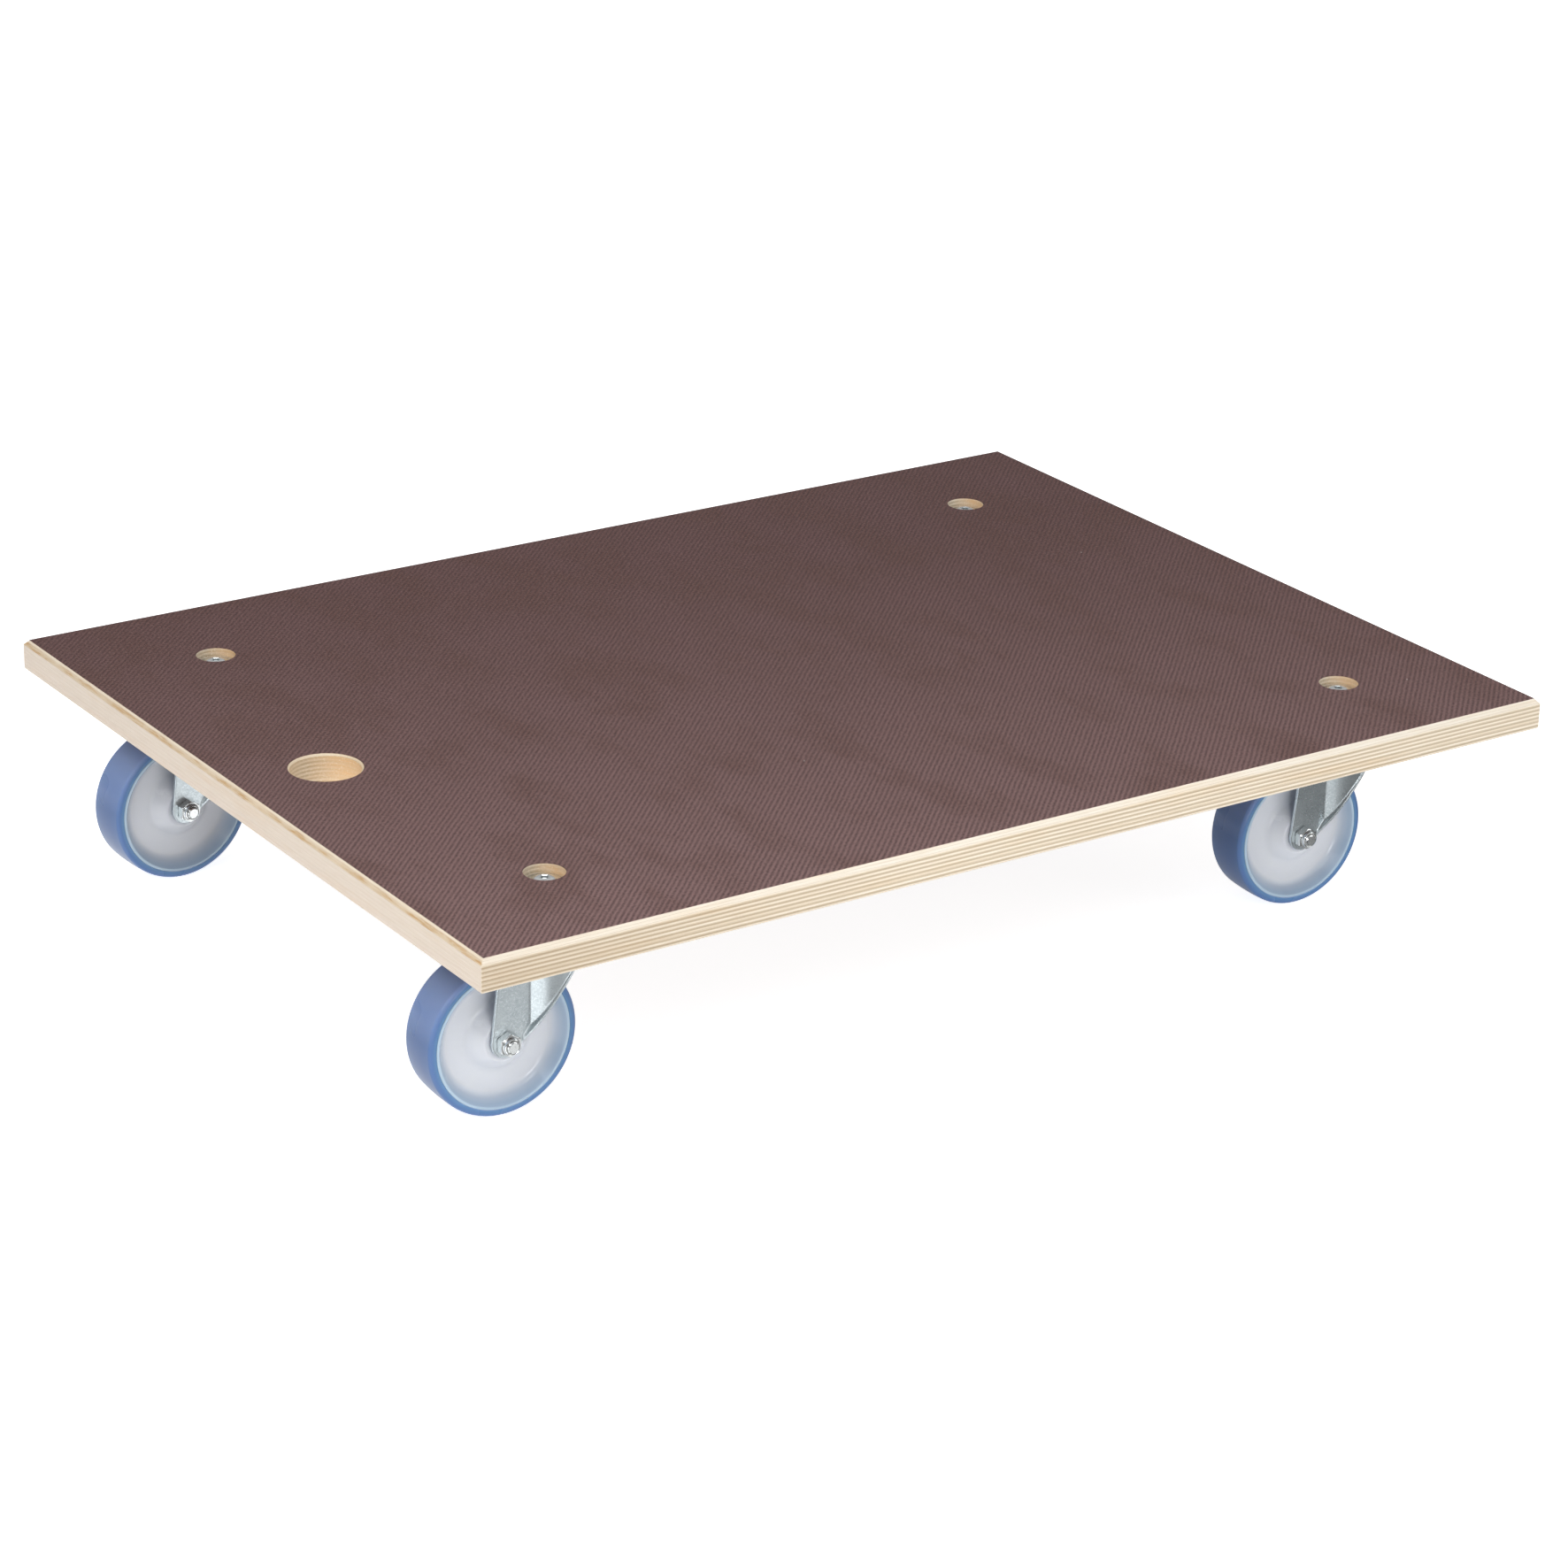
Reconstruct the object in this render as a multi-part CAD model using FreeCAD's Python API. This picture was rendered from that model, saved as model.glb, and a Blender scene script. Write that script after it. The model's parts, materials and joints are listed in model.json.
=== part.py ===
"""Furniture dolly: a film-faced plywood deck on four single-bolt swivel casters.

Millimetres.  The origin lies on the floor below the deck's centre, +X runs along the deck,
+Y across it and +Z up.  The grip hole is at the -X end, which is called the front.
"""
import FreeCAD, Part
import math
import os

Vector = FreeCAD.Vector
ORIGIN = Vector(0, 0, 0)
X_AXIS = Vector(1, 0, 0)
Y_AXIS = Vector(0, 1, 0)
Z_AXIS = Vector(0, 0, 1)

# ---------------------------------------------------------------- driving dimensions
DECK_LENGTH = 800.0
DECK_WIDTH = 600.0
DECK_THICKNESS = 21.0
FILM_THICKNESS = 0.3
TOP_CHAMFER = 3.5
BOTTOM_CHAMFER = 1.0
GRIP_RADIUS = 22.5
GRIP_INSET = 64.0
GRIP_CHAMFER = 1.5

CASTER_SPACING_X = 608.0
CASTER_SPACING_Y = 419.0
CASTER_TRAIL = 36.0

WHEEL_DIAMETER = 100.0
WHEEL_WIDTH = 32.0
TYRE_DEPTH = 5.3
CASTER_HEIGHT = 124.0

SHEET = 2.5
SIDE_GAP = 1.0
CROWN_RADIUS = 28.0
LEG_END_RADIUS = 10.0
RUNNING_GAP = 0.05

# ---------------------------------------------------------------- worked-out places
WHEEL_RADIUS = WHEEL_DIAMETER / 2
AXLE_HEIGHT = WHEEL_RADIUS
DECK_BOTTOM = CASTER_HEIGHT
DECK_TOP = DECK_BOTTOM + DECK_THICKNESS
FORK_INNER = WHEEL_WIDTH / 2 + SIDE_GAP
FORK_OUTER = FORK_INNER + SHEET
CROWN_TOP = DECK_BOTTOM - 10.5
CROWN_UNDERSIDE = CROWN_TOP - SHEET
CROWN_HOLE_RADIUS = 10.0

# fasteners: M10 through the swivel head, M8 for the axle
M10_RADIUS = 5.0
M8_RADIUS = 4.0
M10_CLEARANCE_RADIUS = M10_RADIUS + 0.25
M8_CLEARANCE_RADIUS = M8_RADIUS + 0.1
RECESS_RADIUS = 13.0
RECESS_DEPTH = 8.0
RECESS_FLOOR = DECK_TOP - RECESS_DEPTH
BOLT_HOLE_RADIUS = 5.5
WASHER_RADIUS = 12.0
WASHER_THICKNESS = 2.0
MOUNTING_NUT_HEIGHT = 8.0
M10_ACROSS_FLATS = 17.0
THREAD_SHOWING = 1.3

# swivel head, from the deck down
CUP_PLATE = 2.5
CUP_RADIUS = 27.0
KINGPIN_RADIUS = 8.0
KINGPIN_HEAD = 1.5
UPPER_BALL_RADIUS = 3.0
UPPER_BALL_PITCH = 19.0
UPPER_BALL_COUNT = 18
UPPER_BALL_Z = CROWN_TOP + 2.5
LOWER_BALL_RADIUS = 2.5
LOWER_BALL_PITCH = 14.0
LOWER_BALL_COUNT = 16
LOWER_BALL_Z = CROWN_UNDERSIDE - 2.0
LOWER_CUP_RADIUS = 18.5
LOWER_CUP_TOP = LOWER_BALL_Z - 0.8
LOWER_CUP_BOTTOM = LOWER_CUP_TOP - 3.0
KINGPIN_BOTTOM = LOWER_CUP_BOTTOM - KINGPIN_HEAD

# wheel bearing
AXLE_TUBE_RADIUS = 6.0
BUSH_RADIUS = 8.0
BOSS_RADIUS = 13.0
BOSS_FOOT_RADIUS = 22.0

# place of each swivel axis, and how far the caster stands turned about it at rest, in degrees
CORNERS = {
    "front_left": (-CASTER_SPACING_X / 2, -CASTER_SPACING_Y / 2, -2.0),
    "front_right": (-CASTER_SPACING_X / 2, CASTER_SPACING_Y / 2, 3.0),
    "rear_left": (CASTER_SPACING_X / 2, -CASTER_SPACING_Y / 2, -3.0),
    "rear_right": (CASTER_SPACING_X / 2, CASTER_SPACING_Y / 2, 0.0),
}


# ---------------------------------------------------------------- drawing helpers
def in_xz(u, v):
    return Vector(u, 0, v)


def in_xy(u, v):
    return Vector(u, v, 0)


def rounded_face(corners, place):
    """A closed outline of (u, v, corner radius), drawn in the plane that place() maps to."""
    starts = []
    edges = []
    count = len(corners)
    for index in range(count):
        u, v, radius = corners[index]
        here = place(u, v)
        before = place(*corners[index - 1][:2]) - here
        after = place(*corners[(index + 1) % count][:2]) - here
        before.normalize()
        after.normalize()
        if radius == 0:
            starts.append((here, here))
            continue
        half_angle = before.getAngle(after) / 2
        reach = radius / math.tan(half_angle)
        towards_middle = before + after
        towards_middle.normalize()
        middle = here + towards_middle * (radius / math.sin(half_angle) - radius)
        entry = here + before * reach
        leave = here + after * reach
        edges.append(Part.Arc(entry, middle, leave).toShape())
        starts.append((entry, leave))
    for index in range(count):
        leave = starts[index][1]
        entry = starts[(index + 1) % count][0]
        if leave.distanceToPoint(entry) > 1e-6:
            edges.append(Part.makeLine(leave, entry))
    return Part.Face(Part.Wire(Part.__sortEdges__(edges)))


def turned_about_z(corners):
    """Spin an outline of (radius, height, corner radius) about the swivel axis."""
    return rounded_face(corners, in_xz).revolve(ORIGIN, Z_AXIS, 360)


def turned_about_y(corners):
    """Spin an outline of (radius, place across the wheel, corner radius) about the wheel's axis."""
    return rounded_face(corners, in_xy).revolve(ORIGIN, Y_AXIS, 360)


def ring_z(outer, inner, low, high):
    return turned_about_z([(inner, low, 0), (outer, low, 0), (outer, high, 0), (inner, high, 0)])


def ring_y(outer, inner, low, high):
    return turned_about_y([(inner, low, 0), (outer, low, 0), (outer, high, 0), (inner, high, 0)])


def hexagon(across_flats, height):
    """A hexagonal prism that stands on z = 0."""
    corner_radius = across_flats / math.sqrt(3)
    points = []
    for index in range(7):
        angle = math.radians(60 * index)
        points.append(Vector(corner_radius * math.cos(angle), corner_radius * math.sin(angle), 0))
    return Part.Face(Part.makePolygon(points)).extrude(Vector(0, 0, height))


def lock_nut(bore_radius, across_flats, height):
    """A hexagon nut with the round collar that holds its locking ring, upright on z = 0."""
    collar_height = height * 0.32
    collar_radius = across_flats * 0.42
    bevel = across_flats * 0.07
    corner_radius = across_flats / math.sqrt(3)
    blank = turned_about_z([
        (0, 0, 0),
        (corner_radius - bevel, 0, 0),
        (corner_radius, bevel / 2, 0),
        (corner_radius, height - collar_height - bevel / 2, 0),
        (collar_radius, height - collar_height, 0),
        (collar_radius, height, 1.0),
        (0, height, 0),
    ])
    hexagonal = hexagon(across_flats, height - collar_height)
    collar = Part.makeCylinder(collar_radius, height)
    bore = Part.makeCylinder(bore_radius, height)
    return blank.common(hexagonal.fuse(collar)).cut(bore).removeSplitter()


def hexagon_bolt(radius, across_flats, head_height, length):
    """A hexagon-headed bolt: the head stands on z = 0 and the shank hangs below it."""
    corner_radius = across_flats / math.sqrt(3)
    bevel = across_flats * 0.07
    end_chamfer = radius * 0.2
    crowned = turned_about_z([
        (0, 0, 0),
        (corner_radius, 0, 0),
        (corner_radius, head_height - bevel / 2, 0),
        (corner_radius - bevel, head_height, 0),
        (0, head_height, 0),
    ])
    shank = turned_about_z([
        (0, -length, 0),
        (radius - end_chamfer, -length, 0),
        (radius, -length + end_chamfer, 0),
        (radius, 0.5, 0),
        (0, 0.5, 0),
    ])
    return hexagon(across_flats, head_height).common(crowned).fuse(shank).removeSplitter()


def laid_along_y(shape, y, outward):
    """Lay an upright piece along the axle with its foot at y; outward is +1 or -1."""
    shape = shape.copy()
    shape.rotate(ORIGIN, X_AXIS, -90 * outward)
    shape.translate(Vector(0, y, 0))
    return shape


def on_axle(shape):
    """Move a piece drawn about the wheel's own axis to its place behind the swivel axis."""
    return shape.translated(Vector(-CASTER_TRAIL, 0, AXLE_HEIGHT))


def torus_groove(pitch, z, radius):
    return Part.makeTorus(pitch, radius, Vector(0, 0, z), Z_AXIS)


# ---------------------------------------------------------------- deck
def deck_blank():
    """The whole faced board: outer edges bevelled, grip hole and bolt recesses cut."""
    half_length = DECK_LENGTH / 2
    half_width = DECK_WIDTH / 2

    def slab(inset, low, high, taper):
        """A rectangular frustum whose sides move inwards by taper on the way up."""
        wires = []
        for z, shrink in ((low, inset), (high, inset + taper)):
            x = half_length - shrink
            y = half_width - shrink
            wires.append(Part.makePolygon([
                Vector(-x, -y, z), Vector(x, -y, z), Vector(x, y, z), Vector(-x, y, z), Vector(-x, -y, z)]))
        return Part.makeLoft(wires, True, True)

    bottom_edge = DECK_BOTTOM + BOTTOM_CHAMFER
    top_edge = DECK_TOP - TOP_CHAMFER
    blank = slab(BOTTOM_CHAMFER, DECK_BOTTOM, bottom_edge, -BOTTOM_CHAMFER)
    blank = blank.fuse(slab(0, bottom_edge, top_edge, 0))
    blank = blank.fuse(slab(0, top_edge, DECK_TOP, TOP_CHAMFER))

    wide = GRIP_RADIUS + GRIP_CHAMFER
    grip = turned_about_z([
        (0, DECK_BOTTOM, 0),
        (wide, DECK_BOTTOM, 0),
        (GRIP_RADIUS, DECK_BOTTOM + GRIP_CHAMFER, 0),
        (GRIP_RADIUS, DECK_TOP - GRIP_CHAMFER, 0),
        (wide, DECK_TOP, 0),
        (0, DECK_TOP, 0),
    ])
    blank = blank.cut(grip.translated(Vector(-half_length + GRIP_INSET, 0, 0)))

    for x, y, turn in CORNERS.values():
        recess = Part.makeCylinder(RECESS_RADIUS, RECESS_DEPTH, Vector(x, y, RECESS_FLOOR))
        hole = Part.makeCylinder(BOLT_HOLE_RADIUS, DECK_THICKNESS, Vector(x, y, DECK_BOTTOM))
        blank = blank.cut(recess.fuse(hole))
    return blank.removeSplitter()


def between(shape, low, high):
    """The part of a shape that lies between two heights."""
    corner = Vector(-DECK_LENGTH, -DECK_WIDTH, low)
    return shape.common(Part.makeBox(2 * DECK_LENGTH, 2 * DECK_WIDTH, high - low, corner))


# ---------------------------------------------------------------- deck fasteners
def mounting_bolt():
    """M10 screw with a low button head and hexagon socket; the head lies deep in the deck's recess."""
    head_radius = 7.5
    head_height = 2.8
    socket_width = 5.0
    socket_depth = 2.2
    rim_height = 0.5
    seat = RECESS_FLOOR + WASHER_THICKNESS
    end = KINGPIN_BOTTOM - MOUNTING_NUT_HEIGHT - THREAD_SHOWING
    end_chamfer = 1.0

    rim = Vector(head_radius, 0, seat + rim_height)
    shoulder = Vector(head_radius * 0.80, 0, seat + head_height * 0.72)
    crown = Vector(head_radius * 0.50, 0, seat + head_height)
    lines = [
        Part.makeLine(Vector(0, 0, end), Vector(M10_RADIUS - end_chamfer, 0, end)),
        Part.makeLine(Vector(M10_RADIUS - end_chamfer, 0, end), Vector(M10_RADIUS, 0, end + end_chamfer)),
        Part.makeLine(Vector(M10_RADIUS, 0, end + end_chamfer), Vector(M10_RADIUS, 0, seat)),
        Part.makeLine(Vector(M10_RADIUS, 0, seat), Vector(head_radius, 0, seat)),
        Part.makeLine(Vector(head_radius, 0, seat), rim),
        Part.Arc(rim, shoulder, crown).toShape(),
        Part.makeLine(crown, Vector(0, 0, seat + head_height)),
        Part.makeLine(Vector(0, 0, seat + head_height), Vector(0, 0, end)),
    ]
    screw = Part.Face(Part.Wire(lines)).revolve(ORIGIN, Z_AXIS, 360)
    socket = hexagon(socket_width, socket_depth)
    return screw.cut(socket.translated(Vector(0, 0, seat + head_height - socket_depth)))


def mounting_washer():
    return ring_z(WASHER_RADIUS, M10_CLEARANCE_RADIUS, RECESS_FLOOR, RECESS_FLOOR + WASHER_THICKNESS)


def mounting_nut():
    """M10 lock nut below the hollow king pin, collar down."""
    nut = lock_nut(M10_RADIUS + RUNNING_GAP, M10_ACROSS_FLATS, MOUNTING_NUT_HEIGHT)
    nut.rotate(ORIGIN, X_AXIS, 180)
    return nut.translated(Vector(0, 0, KINGPIN_BOTTOM))


# ---------------------------------------------------------------- swivel head
def top_cup():
    """Upper ball race under the deck, with a rim that keeps dirt off the balls."""
    plate_bottom = DECK_BOTTOM - CUP_PLATE
    race_bottom = UPPER_BALL_Z + 1.0
    race_inner = 14.5
    race_outer = 23.5
    rim_inner = CUP_RADIUS - 1.8
    rim_bottom = CROWN_TOP + 0.8
    cup = turned_about_z([
        (KINGPIN_RADIUS + RUNNING_GAP, plate_bottom, 0),
        (race_inner, plate_bottom, 0),
        (race_inner, race_bottom, 0),
        (race_outer, race_bottom, 0),
        (race_outer, plate_bottom, 0),
        (rim_inner, plate_bottom, 0),
        (rim_inner, rim_bottom, 0),
        (CUP_RADIUS, rim_bottom, 0),
        (CUP_RADIUS, DECK_BOTTOM, 2.0),
        (KINGPIN_RADIUS + RUNNING_GAP, DECK_BOTTOM, 0),
    ])
    return cup.cut(torus_groove(UPPER_BALL_PITCH, UPPER_BALL_Z, UPPER_BALL_RADIUS + RUNNING_GAP))


def lower_cup():
    """Lower ball race, carried by the king pin's head."""
    cup = turned_about_z([
        (KINGPIN_RADIUS + RUNNING_GAP, LOWER_CUP_BOTTOM, 0),
        (LOWER_CUP_RADIUS, LOWER_CUP_BOTTOM, 1.2),
        (LOWER_CUP_RADIUS, LOWER_CUP_TOP, 0),
        (KINGPIN_RADIUS + RUNNING_GAP, LOWER_CUP_TOP, 0),
    ])
    return cup.cut(torus_groove(LOWER_BALL_PITCH, LOWER_BALL_Z, LOWER_BALL_RADIUS + RUNNING_GAP))


def kingpin():
    """Hollow rivet that clamps both cups; the M10 screw runs through it."""
    head_radius = KINGPIN_RADIUS + 2.5
    return turned_about_z([
        (M10_CLEARANCE_RADIUS, KINGPIN_BOTTOM, 0),
        (head_radius, KINGPIN_BOTTOM, 0.6),
        (head_radius, LOWER_CUP_BOTTOM, 0),
        (KINGPIN_RADIUS, LOWER_CUP_BOTTOM, 0),
        (KINGPIN_RADIUS, DECK_BOTTOM, 0),
        (M10_CLEARANCE_RADIUS, DECK_BOTTOM, 0),
    ])


def ball_ring(radius, pitch, z, count):
    balls = []
    for index in range(count):
        angle = 2 * math.pi * index / count
        centre = Vector(pitch * math.cos(angle), pitch * math.sin(angle), z)
        balls.append(Part.makeSphere(radius, centre))
    return Part.makeCompound(balls)


def upper_balls():
    return ball_ring(UPPER_BALL_RADIUS, UPPER_BALL_PITCH, UPPER_BALL_Z, UPPER_BALL_COUNT)


def lower_balls():
    return ball_ring(LOWER_BALL_RADIUS, LOWER_BALL_PITCH, LOWER_BALL_Z, LOWER_BALL_COUNT)


# ---------------------------------------------------------------- fork
FORK_FOOT = AXLE_HEIGHT - LEG_END_RADIUS - 4.0
FORK_REAR = -CASTER_TRAIL - LEG_END_RADIUS - 12.0
FORK_SPAN = 4 * CROWN_RADIUS
FORK_CREASE_RADIUS = 3.0
CROWN_EDGE_RADIUS = 5.0
CROWN_SHOULDER_DROP = 6.0
CROWN_SHOULDER_RADIUS = 10.0
CROWN_NOSE_DROP = 6.5
CROWN_KNEE_DROP = 11.0
CROWN_KNEE_RADIUS = 9.0
REAR_EDGE_LEAN = math.radians(6.3)
FRONT_EDGE_AIM = (0.0, 84.0)
LIP_THICKNESS = 1.5
LIP_TOP_DROP = 12.0
LIP_HALF_LENGTH = 34.0
LIP_END_SLANT = 7.0
LIP_HALF_WIDTH = CROWN_RADIUS + 1.0


def fork_plan(inset):
    """The fork's plan outline: a round crown that narrows through a crease to two flat legs."""
    leg_y = FORK_OUTER - inset
    crown = CROWN_RADIUS - inset
    reach = CROWN_RADIUS + FORK_CREASE_RADIUS
    crease_y = FORK_OUTER + FORK_CREASE_RADIUS
    crease_x = -math.sqrt(reach ** 2 - crease_y ** 2)
    to_crown = crown / reach
    crease_radius = FORK_CREASE_RADIUS + inset
    middle_angle = (math.atan2(crease_y, -crease_x) + math.pi / 2) / 2
    edges = []
    for side in (-1, 1):
        rear = Vector(FORK_REAR, side * leg_y, 0)
        leg_end = Vector(crease_x, side * leg_y, 0)
        crown_start = Vector(crease_x * to_crown, side * crease_y * to_crown, 0)
        crease_middle = Vector(
            crease_x + crease_radius * math.cos(middle_angle),
            side * (crease_y - crease_radius * math.sin(middle_angle)),
            0,
        )
        edges.append(Part.makeLine(rear, leg_end))
        edges.append(Part.Arc(leg_end, crease_middle, crown_start).toShape())
    left = Vector(crease_x * to_crown, -crease_y * to_crown, 0)
    right = Vector(crease_x * to_crown, crease_y * to_crown, 0)
    edges.append(Part.Arc(left, Vector(crown, 0, 0), right).toShape())
    edges.append(Part.makeLine(Vector(FORK_REAR, -leg_y, 0), Vector(FORK_REAR, leg_y, 0)))
    return Part.Face(Part.Wire(Part.__sortEdges__(edges)))


def fork_block(inset, top, edge_radius):
    """The plan outline pulled up to the crown, with its top edge rounded over."""
    block = fork_plan(inset).extrude(Vector(0, 0, top - FORK_FOOT)).translated(Vector(0, 0, FORK_FOOT))
    top_edges = []
    for edge in block.Edges:
        box = edge.BoundBox
        if box.ZMin > top - 0.01 and box.XMax > FORK_REAR + 0.01:
            top_edges.append(edge)
    return block.makeFillet(edge_radius, top_edges)


def front_edge_angle():
    """Slope of the line that touches the round leg end and passes through FRONT_EDGE_AIM."""
    run = FRONT_EDGE_AIM[0] + CASTER_TRAIL
    rise = FRONT_EDGE_AIM[1] - AXLE_HEIGHT
    return math.atan2(rise, run) + math.asin(LEG_END_RADIUS / math.hypot(run, rise))


def front_edge_point(z):
    """(x, z) on the fork's slanting front edge at a height."""
    x = FRONT_EDGE_AIM[0] + (z - FRONT_EDGE_AIM[1]) / math.tan(front_edge_angle())
    return x, z


def leg_tangent(angle):
    """Where a leg edge that points along angle touches the round leg end, on its outer side."""
    return (-CASTER_TRAIL + LEG_END_RADIUS * math.sin(angle), AXLE_HEIGHT - LEG_END_RADIUS * math.cos(angle))


def pulled_across(outline):
    """A side outline made into a solid that spans the whole caster."""
    return outline.extrude(Vector(0, FORK_SPAN, 0)).translated(Vector(0, -FORK_SPAN / 2, 0))


def fork_side_block():
    """The fork's side outline, pulled across the whole caster."""
    slope = front_edge_angle()
    front_x, front_z = leg_tangent(slope)
    rear_x = -CASTER_TRAIL - LEG_END_RADIUS * math.cos(REAR_EDGE_LEAN)
    rear_z = AXLE_HEIGHT + LEG_END_RADIUS * math.sin(REAR_EDGE_LEAN)
    shoulder_z = CROWN_TOP - CROWN_SHOULDER_DROP
    shoulder_x = rear_x + (shoulder_z - rear_z) * math.tan(REAR_EDGE_LEAN)
    knee_x, knee_z = front_edge_point(CROWN_TOP - CROWN_KNEE_DROP)
    nose_x = CROWN_RADIUS + 4.0
    above = CROWN_TOP + 5.0
    outline = rounded_face([
        (rear_x, rear_z, 0),
        (shoulder_x, shoulder_z, CROWN_SHOULDER_RADIUS),
        (-CROWN_RADIUS + 2.0, above, 0),
        (nose_x, above, 0),
        (nose_x, CROWN_TOP - CROWN_NOSE_DROP, 0),
        (knee_x, knee_z, CROWN_KNEE_RADIUS),
        (front_x, front_z, 0),
    ], in_xz)
    foot = Part.makeCylinder(
        LEG_END_RADIUS, FORK_SPAN, Vector(-CASTER_TRAIL, -FORK_SPAN / 2, AXLE_HEIGHT), Y_AXIS)
    return pulled_across(outline).fuse(foot)


def fork_lips(inner_block):
    """The stiffening lips that stand out along the slanting front edge of both legs."""
    slope = front_edge_angle()
    x0, z0 = leg_tangent(slope)
    x1, z1 = front_edge_point(CROWN_TOP - LIP_TOP_DROP)
    back_x = -LIP_THICKNESS * math.sin(slope)
    back_z = LIP_THICKNESS * math.cos(slope)
    slant_x = LIP_END_SLANT * math.cos(slope)
    slant_z = LIP_END_SLANT * math.sin(slope)
    strip = pulled_across(rounded_face([
        (x0, z0, 0),
        (x1, z1, 0),
        (x1 + back_x - slant_x, z1 + back_z - slant_z, 0),
        (x0 + back_x, z0 + back_z, 0),
    ], in_xz))
    oval = Part.Ellipse(Vector(0, 0, FORK_FOOT - 5.0), LIP_HALF_LENGTH, LIP_HALF_WIDTH)
    column = Part.Face(Part.Wire(oval.toShape())).extrude(Vector(0, 0, CROWN_TOP))
    return strip.common(column).cut(inner_block)


def fork():
    """Pressed-steel swivel fork: crown between the two ball rows, legs down to the axle."""
    outer = fork_block(0.0, CROWN_TOP, CROWN_EDGE_RADIUS)
    inner = fork_block(SHEET, CROWN_UNDERSIDE, CROWN_EDGE_RADIUS - SHEET)
    shell = outer.cut(inner).common(fork_side_block())
    body = shell.fuse(fork_lips(inner)).removeSplitter()
    crown_hole = Part.makeCylinder(CROWN_HOLE_RADIUS, CROWN_TOP, Vector(0, 0, WHEEL_DIAMETER))
    axle_hole = Part.makeCylinder(
        M8_CLEARANCE_RADIUS, FORK_SPAN, Vector(-CASTER_TRAIL, -FORK_SPAN / 2, AXLE_HEIGHT), Y_AXIS)
    body = body.cut(crown_hole.fuse(axle_hole))
    body = body.cut(torus_groove(UPPER_BALL_PITCH, UPPER_BALL_Z, UPPER_BALL_RADIUS + RUNNING_GAP))
    return body.cut(torus_groove(LOWER_BALL_PITCH, LOWER_BALL_Z, LOWER_BALL_RADIUS + RUNNING_GAP))


# ---------------------------------------------------------------- axle
AXLE_NUT_HEIGHT = 8.0
AXLE_HEAD_HEIGHT = 5.3
M8_ACROSS_FLATS = 13.0


def axle_tube():
    """Spacer tube that the axle bolt clamps between the legs; the wheel turns on it."""
    return on_axle(ring_y(AXLE_TUBE_RADIUS, M8_CLEARANCE_RADIUS, -FORK_INNER, FORK_INNER))


def axle_bolt():
    length = 2 * FORK_OUTER + AXLE_NUT_HEIGHT + THREAD_SHOWING
    bolt = hexagon_bolt(M8_RADIUS, M8_ACROSS_FLATS, AXLE_HEAD_HEIGHT, length)
    return on_axle(laid_along_y(bolt, FORK_OUTER, 1))


def axle_nut():
    nut = lock_nut(M8_RADIUS + RUNNING_GAP, M8_ACROSS_FLATS, AXLE_NUT_HEIGHT)
    return on_axle(laid_along_y(nut, -FORK_OUTER, -1))


# ---------------------------------------------------------------- wheel
RIM_RADIUS = WHEEL_RADIUS - TYRE_DEPTH
RIM_HALF_WIDTH = WHEEL_WIDTH / 2
RIM_LIP = 1.7
KEY_DEPTH = 2.5
KEY_HALF_WIDTH = 5.0
WEB_HALF_THICKNESS = 8.0
WEB_RADIUS = 37.0
BOSS_HALF_LENGTH = FORK_INNER - 0.5


def mirrored(half):
    """Complete a profile given for positive y, listed from the inside out."""
    return half + [(u, -v, radius) for u, v, radius in reversed(half)]


def hub():
    """Moulded hub: dished on both sides, with a keyed rim that holds the tyre."""
    profile = mirrored([
        (BUSH_RADIUS + RUNNING_GAP, BOSS_HALF_LENGTH, 0),
        (BOSS_RADIUS, BOSS_HALF_LENGTH, 2.0),
        (BOSS_FOOT_RADIUS, WEB_HALF_THICKNESS, 6.0),
        (WEB_RADIUS, WEB_HALF_THICKNESS, 8.0),
        (RIM_RADIUS - RIM_LIP, RIM_HALF_WIDTH, 0.5),
        (RIM_RADIUS, RIM_HALF_WIDTH, 0),
        (RIM_RADIUS, KEY_HALF_WIDTH, 0),
        (RIM_RADIUS - KEY_DEPTH, KEY_HALF_WIDTH, 0),
    ])
    return on_axle(turned_about_y(profile))


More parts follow.
